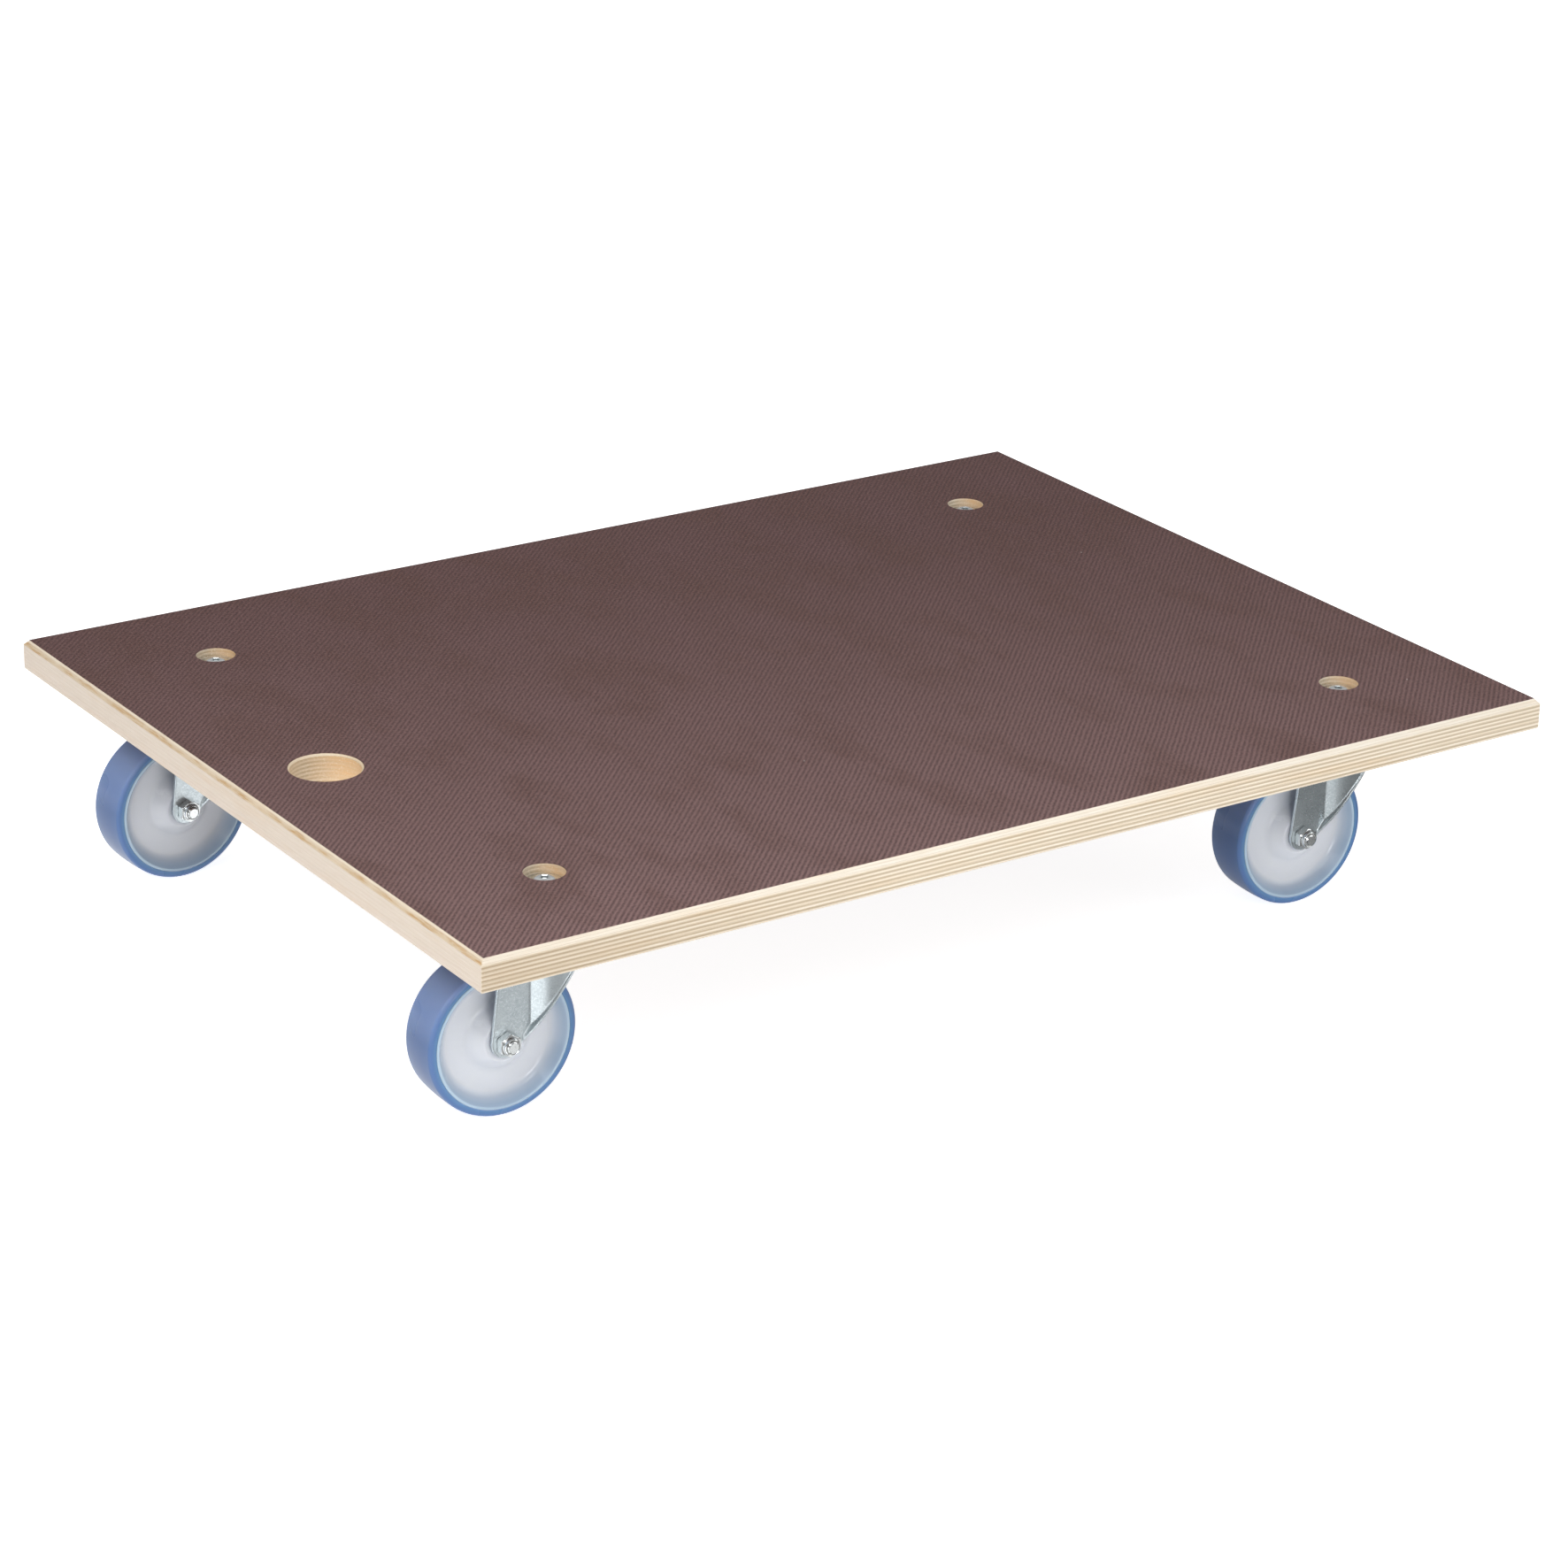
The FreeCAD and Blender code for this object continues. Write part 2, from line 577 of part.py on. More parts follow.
def tyre():
    """Moulded tyre: crowned tread, round shoulders, and a key that locks into the rim."""
    crown_arc = 150.0
    shoulder = 3.0
    half_width = WHEEL_WIDTH / 2
    bore = RIM_RADIUS + RUNNING_GAP
    key_bore = bore - KEY_DEPTH
    key_half = KEY_HALF_WIDTH - RUNNING_GAP
    crown_centre = WHEEL_RADIUS - crown_arc
    shoulder_y = half_width - shoulder
    shoulder_r = crown_centre + math.sqrt((crown_arc - shoulder) ** 2 - shoulder_y ** 2)
    turn = math.atan2(shoulder_y, shoulder_r - crown_centre)
    tread_r = shoulder_r + shoulder * math.cos(turn)
    tread_y = shoulder_y + shoulder * math.sin(turn)
    halfway = (turn + math.pi / 2) / 2
    middle_r = shoulder_r + shoulder * math.cos(halfway)
    middle_y = shoulder_y + shoulder * math.sin(halfway)
    edges = [Part.Arc(
        Vector(tread_r, -tread_y, 0), Vector(WHEEL_RADIUS, 0, 0), Vector(tread_r, tread_y, 0)).toShape()]
    for side in (-1, 1):
        edges.append(Part.Arc(
            Vector(tread_r, side * tread_y, 0),
            Vector(middle_r, side * middle_y, 0),
            Vector(shoulder_r, side * half_width, 0)).toShape())
        edges.append(Part.makeLine(Vector(shoulder_r, side * half_width, 0), Vector(bore, side * half_width, 0)))
        edges.append(Part.makeLine(Vector(bore, side * half_width, 0), Vector(bore, side * key_half, 0)))
        edges.append(Part.makeLine(Vector(bore, side * key_half, 0), Vector(key_bore, side * key_half, 0)))
    edges.append(Part.makeLine(Vector(key_bore, -key_half, 0), Vector(key_bore, key_half, 0)))
    profile = Part.Face(Part.Wire(Part.__sortEdges__(edges)))
    return on_axle(profile.revolve(ORIGIN, Y_AXIS, 360))


def hub_bush():
    """Plain bearing bush pressed into the hub, running on the axle tube."""
    return on_axle(ring_y(BUSH_RADIUS, AXLE_TUBE_RADIUS + RUNNING_GAP, -BOSS_HALF_LENGTH, BOSS_HALF_LENGTH))


# ---------------------------------------------------------------- whole dolly
CASTER_PIECES = {
    "top_cup": top_cup,
    "lower_cup": lower_cup,
    "kingpin": kingpin,
    "upper_balls": upper_balls,
    "lower_balls": lower_balls,
    "fork": fork,
    "axle_tube": axle_tube,
    "axle_bolt": axle_bolt,
    "axle_nut": axle_nut,
    "hub": hub,
    "tyre": tyre,
    "hub_bush": hub_bush,
}


def at_corner(shape, corner):
    """A piece drawn about the swivel axis, turned to its caster's rest angle and put in its place."""
    x, y, turn = CORNERS[corner]
    placed = shape.copy()
    placed.rotate(ORIGIN, Z_AXIS, turn)
    placed.translate(Vector(x, y, 0))
    return placed


def at_all_corners(shape):
    return Part.makeCompound([at_corner(shape, corner) for corner in CORNERS])


def save(name, shape):
    shape.exportStep(os.path.join("parts", name + ".step"))


def main():
    os.makedirs("parts", exist_ok=True)
    blank = deck_blank()
    save("deck_board", between(blank, DECK_BOTTOM + FILM_THICKNESS, DECK_TOP - FILM_THICKNESS))
    save("top_grip_film", between(blank, DECK_TOP - FILM_THICKNESS, DECK_TOP))
    save("bottom_film", between(blank, DECK_BOTTOM, DECK_BOTTOM + FILM_THICKNESS))
    save("mounting_bolts", at_all_corners(mounting_bolt()))
    save("mounting_washers", at_all_corners(mounting_washer()))
    save("mounting_nuts", at_all_corners(mounting_nut()))
    for piece_name, make_piece in CASTER_PIECES.items():
        piece = make_piece()
        for corner in CORNERS:
            save(corner + "_" + piece_name, at_corner(piece, corner))


main()
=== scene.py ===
"""The furniture dolly's looks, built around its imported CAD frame.  Metres, in the CAD's own frame.

The deck board, the tyres, hubs and forks and every fastener in view are rebuilt as finer meshes that
stand for their CAD nodes.  The films and the parts of the swivel heads keep their CAD shape.
"""
import json
import math
from functools import reduce

import bmesh
import bpy
from mathutils import Matrix, Vector


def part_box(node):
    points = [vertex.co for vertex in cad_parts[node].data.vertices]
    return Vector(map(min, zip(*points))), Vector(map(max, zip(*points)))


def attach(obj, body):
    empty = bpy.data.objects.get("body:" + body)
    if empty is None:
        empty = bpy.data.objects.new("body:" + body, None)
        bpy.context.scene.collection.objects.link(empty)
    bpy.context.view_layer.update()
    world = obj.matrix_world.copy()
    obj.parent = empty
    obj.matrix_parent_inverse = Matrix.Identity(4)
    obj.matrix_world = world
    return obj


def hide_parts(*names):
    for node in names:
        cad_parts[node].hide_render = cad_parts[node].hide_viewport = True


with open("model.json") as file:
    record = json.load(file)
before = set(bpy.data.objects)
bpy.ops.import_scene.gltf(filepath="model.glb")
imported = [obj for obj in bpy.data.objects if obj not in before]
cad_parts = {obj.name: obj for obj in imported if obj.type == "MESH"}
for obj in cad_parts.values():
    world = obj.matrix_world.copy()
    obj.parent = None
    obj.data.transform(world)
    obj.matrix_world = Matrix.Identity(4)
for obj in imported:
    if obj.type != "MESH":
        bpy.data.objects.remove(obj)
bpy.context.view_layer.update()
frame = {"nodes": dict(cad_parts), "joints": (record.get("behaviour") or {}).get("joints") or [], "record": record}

MM = 0.001
ROUND = 2 * math.pi
CORNERS = ("front_left", "front_right", "rear_left", "rear_right")
PATTERN = "rear_right"


# ---------------------------------------------------------------- places worked out from the frame
def middle(node):
    low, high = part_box(node)
    return (low + high) / 2


def extent(node):
    low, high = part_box(node)
    return high - low


def swivel_place(corner):
    """The point where a corner's swivel axis meets the floor."""
    centre = middle(corner + "_kingpin")
    return Vector((centre.x, centre.y, 0))


def caster_turn(corner):
    """The angle that a corner's caster stands turned at rest, from the direction of its axle."""
    axle = next(j["axis"] for j in frame["joints"] if j["name"] == corner + "_roll")
    return math.atan2(-axle[0], axle[1])


# Caster pieces are drawn once, about the swivel axis, from the caster that stands square to the deck.
WHEEL_CENTRE = middle(PATTERN + "_tyre") - swivel_place(PATTERN)
WHEEL_PLANE = middle(PATTERN + "_tyre").y
DECK_LOW, DECK_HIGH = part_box("deck_board")
DECK_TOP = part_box("top_grip_film")[1].z
DECK_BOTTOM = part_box("bottom_film")[0].z
PLY_COUNT = 15
PLY = (DECK_HIGH.z - DECK_LOW.z) / PLY_COUNT
RECESS_RADIUS = 13.0 * MM
BOLT_HOLE_RADIUS = 5.5 * MM


def grip_hole():
    """The grip hole's place and size, from the record's mount."""
    mount = next(m for m in frame["record"]["mounts"] if m["name"] == "grip_hole")
    length = mount["dims"]["length_mm"] * MM
    return {"centre": Vector(mount["pos_m"]),
            "radius": mount["dims"]["r_mm"] * MM,
            "chamfer": (DECK_TOP - DECK_BOTTOM - length) / 2}


# ---------------------------------------------------------------- mesh helpers
def circle(radius):
    return lambda angle: radius


def hexagon(across_flats, limit=1.0):
    """Radius of a hexagon at an angle, cut off where it would pass a limiting circle."""
    def radius(angle):
        from_flat = (angle + math.radians(30)) % math.radians(60) - math.radians(30)
        return min(limit, across_flats / 2 / math.cos(from_flat))
    return radius


def thread(radius, pitch, height):
    """Radius of a screw thread's flank at an angle, for one height along the screw."""
    def shape(angle):
        turn = (height / pitch - angle / ROUND) % 1.0
        return radius - 0.55 * pitch * (1 - abs(2 * turn - 1))
    return shape


def soften(corners, steps):
    """Points of an open profile whose corners (u, v, radius) are rounded off."""
    points = []
    for index, (u, v, radius) in enumerate(corners):
        here = Vector((u, v))
        if radius == 0 or index in (0, len(corners) - 1):
            points.append(here)
            continue
        before = (Vector(corners[index - 1][:2]) - here).normalized()
        after = (Vector(corners[index + 1][:2]) - here).normalized()
        half_angle = before.angle(after) / 2
        reach = radius / math.tan(half_angle)
        centre = here + (before + after).normalized() * (radius / math.sin(half_angle))
        start = here + before * reach - centre
        turn = start.angle_signed(here + after * reach - centre)
        for step in range(steps + 1):
            points.append(centre + Matrix.Rotation(-turn * step / steps, 2) @ start)
    return points


def finish_mesh(bm, name, sharp_degrees):
    """A mesh from a bmesh, shaded smooth except where it bends by more than an angle."""
    bmesh.ops.recalc_face_normals(bm, faces=bm.faces)
    mesh = bpy.data.meshes.new(name)
    bm.to_mesh(mesh)
    bm.free()
    mesh.polygons.foreach_set("use_smooth", [True] * len(mesh.polygons))
    mesh.set_sharp_from_angle(angle=math.radians(sharp_degrees))
    return mesh


def turned(name, stations, material, place=(0, 0, 0), axis="Z", segments=96, sharp_degrees=38):
    """A mesh turned about an axis through place, from stations of (radius or shape, height).

    A station of radius 0 closes the end to a point; a closed ring repeats its first station last.
    """
    bm = bmesh.new()
    closed = stations[0] == stations[-1]
    rings = []
    for shape, height in stations[:-1] if closed else stations:
        if shape == 0:
            rings.append([bm.verts.new((0, 0, height))])
            continue
        radius_at = shape if callable(shape) else circle(shape)
        ring = []
        for index in range(segments):
            angle = ROUND * index / segments
            radius = radius_at(angle)
            ring.append(bm.verts.new((radius * math.cos(angle), radius * math.sin(angle), height)))
        rings.append(ring)
    if closed:
        rings.append(rings[0])
    for lower, upper in zip(rings, rings[1:]):
        for index in range(segments):
            after = (index + 1) % segments
            corners = [lower[index % len(lower)], lower[after % len(lower)],
                       upper[after % len(upper)], upper[index % len(upper)]]
            bm.faces.new(list(dict.fromkeys(corners)))
    if axis == "Y":
        bmesh.ops.rotate(bm, verts=bm.verts, matrix=Matrix.Rotation(math.radians(-90), 3, "X"))
    bmesh.ops.translate(bm, verts=bm.verts, vec=place)
    mesh = finish_mesh(bm, name, sharp_degrees)
    mesh.materials.append(FINISHES[material])
    return mesh


def add_piece(name, mesh, body, node, corner=None):
    """Link a mesh as a piece that rides on a body and stands for a CAD node.

    With a corner, the mesh is one drawn about the swivel axis, and it is turned and moved there.
    """
    piece = bpy.data.objects.new(name, mesh)
    bpy.context.scene.collection.objects.link(piece)
    if corner:
        place = Matrix.Translation(swivel_place(corner))
        piece.matrix_world = place @ Matrix.Rotation(caster_turn(corner), 4, "Z")
    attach(piece, body)
    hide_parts(node)


def on_casters(kind, mesh, body):
    """A caster part, one shared mesh, on all four casters."""
    for corner in CORNERS:
        add_piece(f"{corner}_{kind}_piece", mesh, f"{corner}_{body}", f"{corner}_{kind}", corner)


# ---------------------------------------------------------------- material helpers
class Finish:
    """A node material under construction around one Principled shader."""

    def __init__(self, name):
        self.material = bpy.data.materials.new(name)
        self.material.use_nodes = True
        self.tree = self.material.node_tree
        self.tree.nodes.clear()
        self.shader = self.tree.nodes.new("ShaderNodeBsdfPrincipled")
        output = self.tree.nodes.new("ShaderNodeOutputMaterial")
        self.tree.links.new(self.shader.outputs[0], output.inputs[0])
        coordinates = self.tree.nodes.new("ShaderNodeTexCoord")
        self.place = coordinates.outputs["Object"]
        self.normal = coordinates.outputs["Normal"]

    def node(self, kind, inputs, output=0, **settings):
        """Add a node, set or link its inputs, and return one of its outputs."""
        made = self.tree.nodes.new("ShaderNode" + kind)
        for key, value in settings.items():
            setattr(made, key, value)
        for key, value in inputs.items():
            self.connect(value, made.inputs[key])
        return made.outputs[output]

    def connect(self, value, socket):
        if isinstance(value, bpy.types.NodeSocket):
            self.tree.links.new(value, socket)
        else:
            socket.default_value = value

    def set(self, **inputs):
        for key, value in inputs.items():
            self.connect(value, self.shader.inputs[key.replace("_", " ").title().replace("Ior", "IOR")])

    def math(self, operation, a, b=0.0):
        return self.node("Math", {0: a, 1: b}, operation=operation)

    def plus(self, a, b):
        return self.math("ADD", a, b)

    def minus(self, a, b):
        return self.math("SUBTRACT", a, b)

    def absolute(self, a):
        return self.math("ABSOLUTE", a)

    def times(self, *factors):
        return reduce(lambda a, b: self.math("MULTIPLY", a, b), factors)

    def mix(self, factor, a, b, blend="MIX"):
        return self.node("Mix", {0: factor, 6: a, 7: b}, output=2, data_type="RGBA", blend_type=blend)

    def noise(self, scale, stretch=(1, 1, 1), detail=3.0, roughness=0.55):
        """Cloudy noise; its marks are drawn out along an axis whose stretch is below 1."""
        place = self.node("Mapping", {"Vector": self.place, "Scale": stretch})
        return self.node("TexNoise", {
            "Vector": place, "Scale": scale, "Detail": detail, "Roughness": roughness})

    def parts(self, vector):
        """The x, y and z of a vector."""
        separate = self.node("SeparateXYZ", {0: vector}).node
        return [separate.outputs[index] for index in range(3)]

    def between(self, value, low, high, to_low=0.0, to_high=1.0):
        """Map a value from one range onto another, held at both ends."""
        return self.node("MapRange", {0: value, 1: low, 2: high, 3: to_low, 4: to_high})

    def shelter(self, distance):
        """How open a place is to its surroundings: 1 in the open, 0 in a deep corner."""
        return self.node("AmbientOcclusion", {"Distance": distance}, output="AO", samples=6)

    def bump(self, height, strength, distance):
        return self.node("Bump", {"Height": height, "Strength": strength, "Distance": distance})


def rgb(red, green, blue):
    return (red, green, blue, 1.0)


# ---------------------------------------------------------------- finishes
def birch_plywood():
    """Cross-laid birch veneers: a ply is pale along its grain, and tan where it shows its end grain."""
    f = Finish("birch_plywood")
    x, y, z = f.parts(f.place)
    facing_x, facing_y, facing_z = f.parts(f.normal)
    on_end = f.times(facing_x, facing_x)
    on_side = f.times(facing_y, facing_y)
    on_bevel = f.between(facing_z, 0.3, 0.6)
    end_bevel = f.times(on_bevel, on_end)
    waver = f.between(f.noise(9.0, detail=3.0), 0.3, 0.7, -0.16 * PLY, 0.16 * PLY)
    level = f.math("DIVIDE", f.plus(f.minus(z, DECK_LOW.z), waver), PLY)
    own = f.node("TexWhiteNoise", {"W": f.math("FLOOR", level)}, noise_dimensions="1D")

    # whatever lies well inside the board's outer faces is the wall or the rim of a hole
    inside_x = f.between(f.absolute(x), DECK_HIGH.x - 20 * MM, DECK_HIGH.x - 10 * MM, 1.0, 0.0)
    inside_y = f.between(f.absolute(y), DECK_HIGH.y - 20 * MM, DECK_HIGH.y - 10 * MM, 1.0, 0.0)
    in_hole = f.times(inside_x, inside_y)
    hole_wall = f.times(in_hole, f.minus(1.0, on_bevel))

    # distance from the middle of the nearest cross ply, counted in pairs of plies
    pair = f.math("FRACT", f.times(level, 0.5))
    apart = f.absolute(f.minus(pair, 0.75))
    apart = f.minus(0.5, f.absolute(f.minus(apart, 0.5)))
    cross_ply = f.between(apart, 0.26, 0.37, 1.0, 0.0)
    on_end_face = f.times(on_end, f.between(apart, 0.2, 0.3, 0.0, 0.12))
    end_grain = f.plus(f.times(on_side, cross_ply), on_end_face)
    end_grain = f.times(end_grain, f.between(on_bevel, 0.0, 1.0, 1.0, 0.25))
    end_grain = f.math("MAXIMUM", end_grain, f.times(hole_wall, cross_ply, 0.7))

    fibres = f.noise(900.0, stretch=(0.05, 0.05, 3.0), detail=4.0)
    streaks = f.noise(60.0, stretch=(0.7, 0.7, 9.0), detail=5.0, roughness=0.65)
    patches = f.noise(9.0, stretch=(1, 1, 12.0), detail=4.0)
    long_grain = f.mix(own, rgb(0.78, 0.69, 0.55), rgb(0.86, 0.79, 0.67))
    long_grain = f.mix(on_end, long_grain, rgb(0.74, 0.655, 0.575))
    cut_grain = f.mix(own, rgb(0.45, 0.365, 0.25), rgb(0.58, 0.48, 0.35))
    cut_grain = f.mix(f.between(fibres, 0.4, 0.7, 0.0, 0.5), cut_grain, rgb(0.70, 0.61, 0.48))
    colour = f.mix(end_grain, long_grain, cut_grain)
    bevel_tone = f.mix(in_hole, rgb(0.93, 0.88, 0.79), rgb(0.88, 0.75, 0.55))
    colour = f.mix(f.times(on_bevel, 0.55), colour, bevel_tone)
    colour = f.mix(end_bevel, colour, rgb(0.88, 0.78, 0.62), "MULTIPLY")

    # the long faces are duller towards the front end of the board
    towards_front = f.times(f.between(x, -0.1, DECK_LOW.x, 0.0, 1.0), on_side)
    colour = f.mix(towards_front, colour, rgb(0.76, 0.72, 0.67), "MULTIPLY")
    colour = f.mix(f.between(fibres, 0.35, 0.75, 0.0, 0.3), colour, rgb(0.66, 0.50, 0.34), "MULTIPLY")
    colour = f.mix(f.between(patches, 0.55, 0.8, 0.0, 0.4), colour, rgb(0.95, 0.76, 0.52), "MULTIPLY")

    # the end bevels cut through a darker, streaky ply just below the film
    below_film = f.between(z, DECK_HIGH.z - 1.4 * MM, DECK_HIGH.z - 0.9 * MM, 1.0, 0.0)
    below_film = f.times(f.between(z, DECK_HIGH.z - 3.4 * MM, DECK_HIGH.z - 3.0 * MM), below_film)
    ochre = f.times(end_bevel, below_film, f.between(streaks, 0.38, 0.62, 1.2, 2.4))
    colour = f.mix(ochre, colour, rgb(0.58, 0.42, 0.24))
    rust = f.times(ochre, f.between(streaks, 0.52, 0.62, 0.0, 0.6))
    colour = f.mix(rust, colour, rgb(0.50, 0.26, 0.08))

    # handling has darkened the grip hole; every hole wall that faces the front end is made a warmer orange
    centre = grip_hole()["centre"]
    from_grip = f.node("VectorMath", {0: f.place, 1: centre}, output="Value", operation="DISTANCE")
    handled = f.times(hole_wall, f.between(from_grip, 35 * MM, 45 * MM, 0.55, 0.0))
    handled = f.times(handled, f.between(on_side, 0.3, 1.0, 1.0, 0.35))
    colour = f.mix(handled, colour, rgb(0.80, 0.58, 0.33))
    front_facing_warmth = f.times(f.between(facing_x, 0.1, -0.9), hole_wall)
    front_facing_warmth = f.times(front_facing_warmth, f.between(streaks, 0.3, 0.6, 0.3, 0.8))
    colour = f.mix(front_facing_warmth, colour, rgb(0.80, 0.50, 0.24))
    fuzz = f.times(in_hole, f.between(f.noise(1100.0, detail=3.0), 0.54, 0.70, 0.0, 0.4))
    colour = f.mix(fuzz, colour, rgb(0.95, 0.87, 0.72))

    glue = f.absolute(f.minus(f.math("FRACT", level), 0.5))
    glue = f.times(f.between(glue, 0.42, 0.5, 0.0, 0.35), f.between(streaks, 0.3, 0.6))
    glue = f.times(glue, f.between(on_end, 0.0, 1.0, 1.0, 0.35))
    colour = f.mix(glue, colour, rgb(0.44, 0.31, 0.19))
    relief = f.plus(f.times(fibres, 0.4), f.times(end_grain, 0.3))
    f.set(base_color=colour, roughness=f.between(fibres, 0.2, 0.8, 0.5, 0.72),
          normal=f.bump(relief, 0.3, 0.2 * MM))
    return f.material


def mesh_film():
    """Brown phenolic film with the woven imprint of a wire mesh that runs parallel to the edges."""
    f = Finish("mesh_film")
    wire_pitch = 2.21 * MM
    x, y = f.parts(f.place)[:2]
    wander = f.between(f.noise(40.0, detail=3.0), 0.3, 0.7, -0.5, 0.5)
    u = f.plus(f.times(x, math.pi / wire_pitch), wander)
    v = f.times(y, math.pi / wire_pitch)
    knuckles = f.times(f.math("COSINE", u), f.math("COSINE", v))
    ridges = f.math("COSINE", f.minus(u, v))
    worn = f.noise(620.0, detail=4.0, roughness=0.7)
    ragged = f.between(worn, 0.3, 0.7, -0.7, 0.7)
    weave = f.plus(f.plus(f.times(knuckles, 0.25), ridges), ragged)
    weave = f.between(weave, -1.6, 1.6)
    grain = f.noise(2600.0, detail=2.0)
    cloud = f.noise(4.5, detail=4.0)
    blotch = f.noise(22.0, stretch=(1, 0.5, 1), detail=5.0, roughness=0.65)
    # painted sheen: towards the -Y side and the front end the film is painted paler and mauver, as where a soft
    # light glances off it
    painted_sheen = f.between(f.plus(y, f.times(x, 0.25)), 0.25, -0.38)
    painted_sheen = f.math("POWER", painted_sheen, 1.2)
    colour = f.mix(cloud, rgb(0.100, 0.041, 0.035), rgb(0.128, 0.060, 0.054))
    colour = f.mix(f.between(blotch, 0.42, 0.70, 0.0, 0.7), colour, rgb(0.148, 0.078, 0.080))
    colour = f.mix(f.times(painted_sheen, 0.8), colour, rgb(0.28, 0.172, 0.167))
    colour = f.mix(f.between(blotch, 0.5, 0.32, 0.0, 0.45), colour, rgb(0.110, 0.043, 0.029))
    imprint = f.between(weave, 0.1, 0.8, 0.66, 0.0)
    colour = f.mix(imprint, colour, rgb(0.042, 0.020, 0.020))
    colour = f.mix(f.between(worn, 0.46, 0.70, 0.0, 0.5), colour, rgb(0.30, 0.18, 0.165))
    colour = f.mix(f.between(worn, 0.42, 0.28, 0.0, 0.5), colour, rgb(0.070, 0.034, 0.032))
    colour = f.mix(f.between(grain, 0.55, 0.8, 0.0, 0.25), colour, rgb(0.30, 0.22, 0.22))
    cells = f.node("TexVoronoi", {"Vector": f.place, "Scale": 28.0}).node.outputs
    picked = f.math("GREATER_THAN", f.node("SeparateColor", {0: cells["Color"]}), 0.6)
    speck = f.times(f.math("LESS_THAN", cells["Distance"], 0.016), picked)
    colour = f.mix(f.times(speck, 0.8), colour, rgb(0.62, 0.55, 0.52))
    height = f.plus(weave, f.times(grain, 0.25))
    f.set(base_color=colour, roughness=f.between(blotch, 0.3, 0.7, 0.42, 0.56), specular_ior_level=0.2,
          normal=f.bump(height, 0.8, 0.35 * MM))
    return f.material


def smooth_film():
    """The underside's plain brown film, with faint scuffs; its cut edge is sanded back to the wood."""
    f = Finish("smooth_film")
    facing = f.parts(f.normal)[2]
    cloud = f.noise(6.0, detail=4.0)
    scuffs = f.noise(60.0, stretch=(0.15, 1, 1), detail=6.0, roughness=0.7)
    colour = f.mix(cloud, rgb(0.055, 0.026, 0.022), rgb(0.085, 0.045, 0.038))
    colour = f.mix(f.between(scuffs, 0.58, 0.8, 0.0, 0.3), colour, rgb(0.20, 0.15, 0.13))
    colour = f.mix(f.between(facing, -0.95, -0.85), colour, rgb(0.80, 0.70, 0.55))
    f.set(base_color=colour, roughness=f.between(scuffs, 0.3, 0.7, 0.25, 0.45),
          normal=f.bump(f.noise(220.0, detail=3.0), 0.08, 0.3 * MM))
    return f.material


def zinc_sheet():
    """Bright zinc plate on pressed sheet: fine spangle, soft stains and a trace of draw lines."""
    f = Finish("zinc_sheet")
    spangle = f.noise(700.0, detail=4.0, roughness=0.65)
    stain = f.noise(70.0, detail=4.0)
    draw = f.noise(300.0, stretch=(1, 1, 0.06), detail=3.0)
    colour = f.mix(stain, rgb(0.62, 0.69, 0.73), rgb(0.78, 0.85, 0.87))
    colour = f.mix(f.between(spangle, 0.35, 0.7, 0.0, 0.4), colour, rgb(0.34, 0.40, 0.43))
    rough = f.plus(f.between(spangle, 0.3, 0.7, 0.20, 0.34), f.between(stain, 0.3, 0.7, 0.0, 0.08))
    height = f.plus(f.times(spangle, 0.5), f.times(draw, 0.5))
    f.set(base_color=colour, metallic=0.85, roughness=rough, normal=f.bump(height, 0.12, 0.15 * MM))
    return f.material


def zinc_fastener():
    """Bright zinc plate on turned and cold-formed fasteners, with painted shade in their creases."""
    f = Finish("zinc_fastener")
    grain = f.noise(1200.0, detail=3.0)
    tone = f.noise(120.0, detail=3.0)
    # painted shade: creases and the gaps between parts are darkened by how closed in they are
    crease_shade = f.shelter(2.5 * MM)
    colour = f.mix(tone, rgb(0.76, 0.80, 0.81), rgb(0.92, 0.94, 0.94))
    colour = f.mix(f.between(grain, 0.5, 0.8, 0.0, 0.25), colour, rgb(0.40, 0.43, 0.44))
    colour = f.mix(f.between(crease_shade, 0.35, 0.8, 0.85, 0.0), colour, rgb(0.05, 0.06, 0.07))
    f.set(base_color=colour, metallic=0.95, roughness=f.between(grain, 0.3, 0.7, 0.12, 0.24),
          normal=f.bump(grain, 0.10, 0.1 * MM))
    return f.material


def wheel_radius_of(f):
    """Distance from the wheel's own axis, on a mesh that is drawn about the swivel axis."""
    offset = f.node("VectorMath", {0: f.place, 1: WHEEL_CENTRE}, operation="SUBTRACT")
    flat = f.node("VectorMath", {0: offset, 1: (1.0, 0.0, 1.0)}, operation="MULTIPLY")
    return f.node("VectorMath", {0: flat}, output="Value", operation="LENGTH")


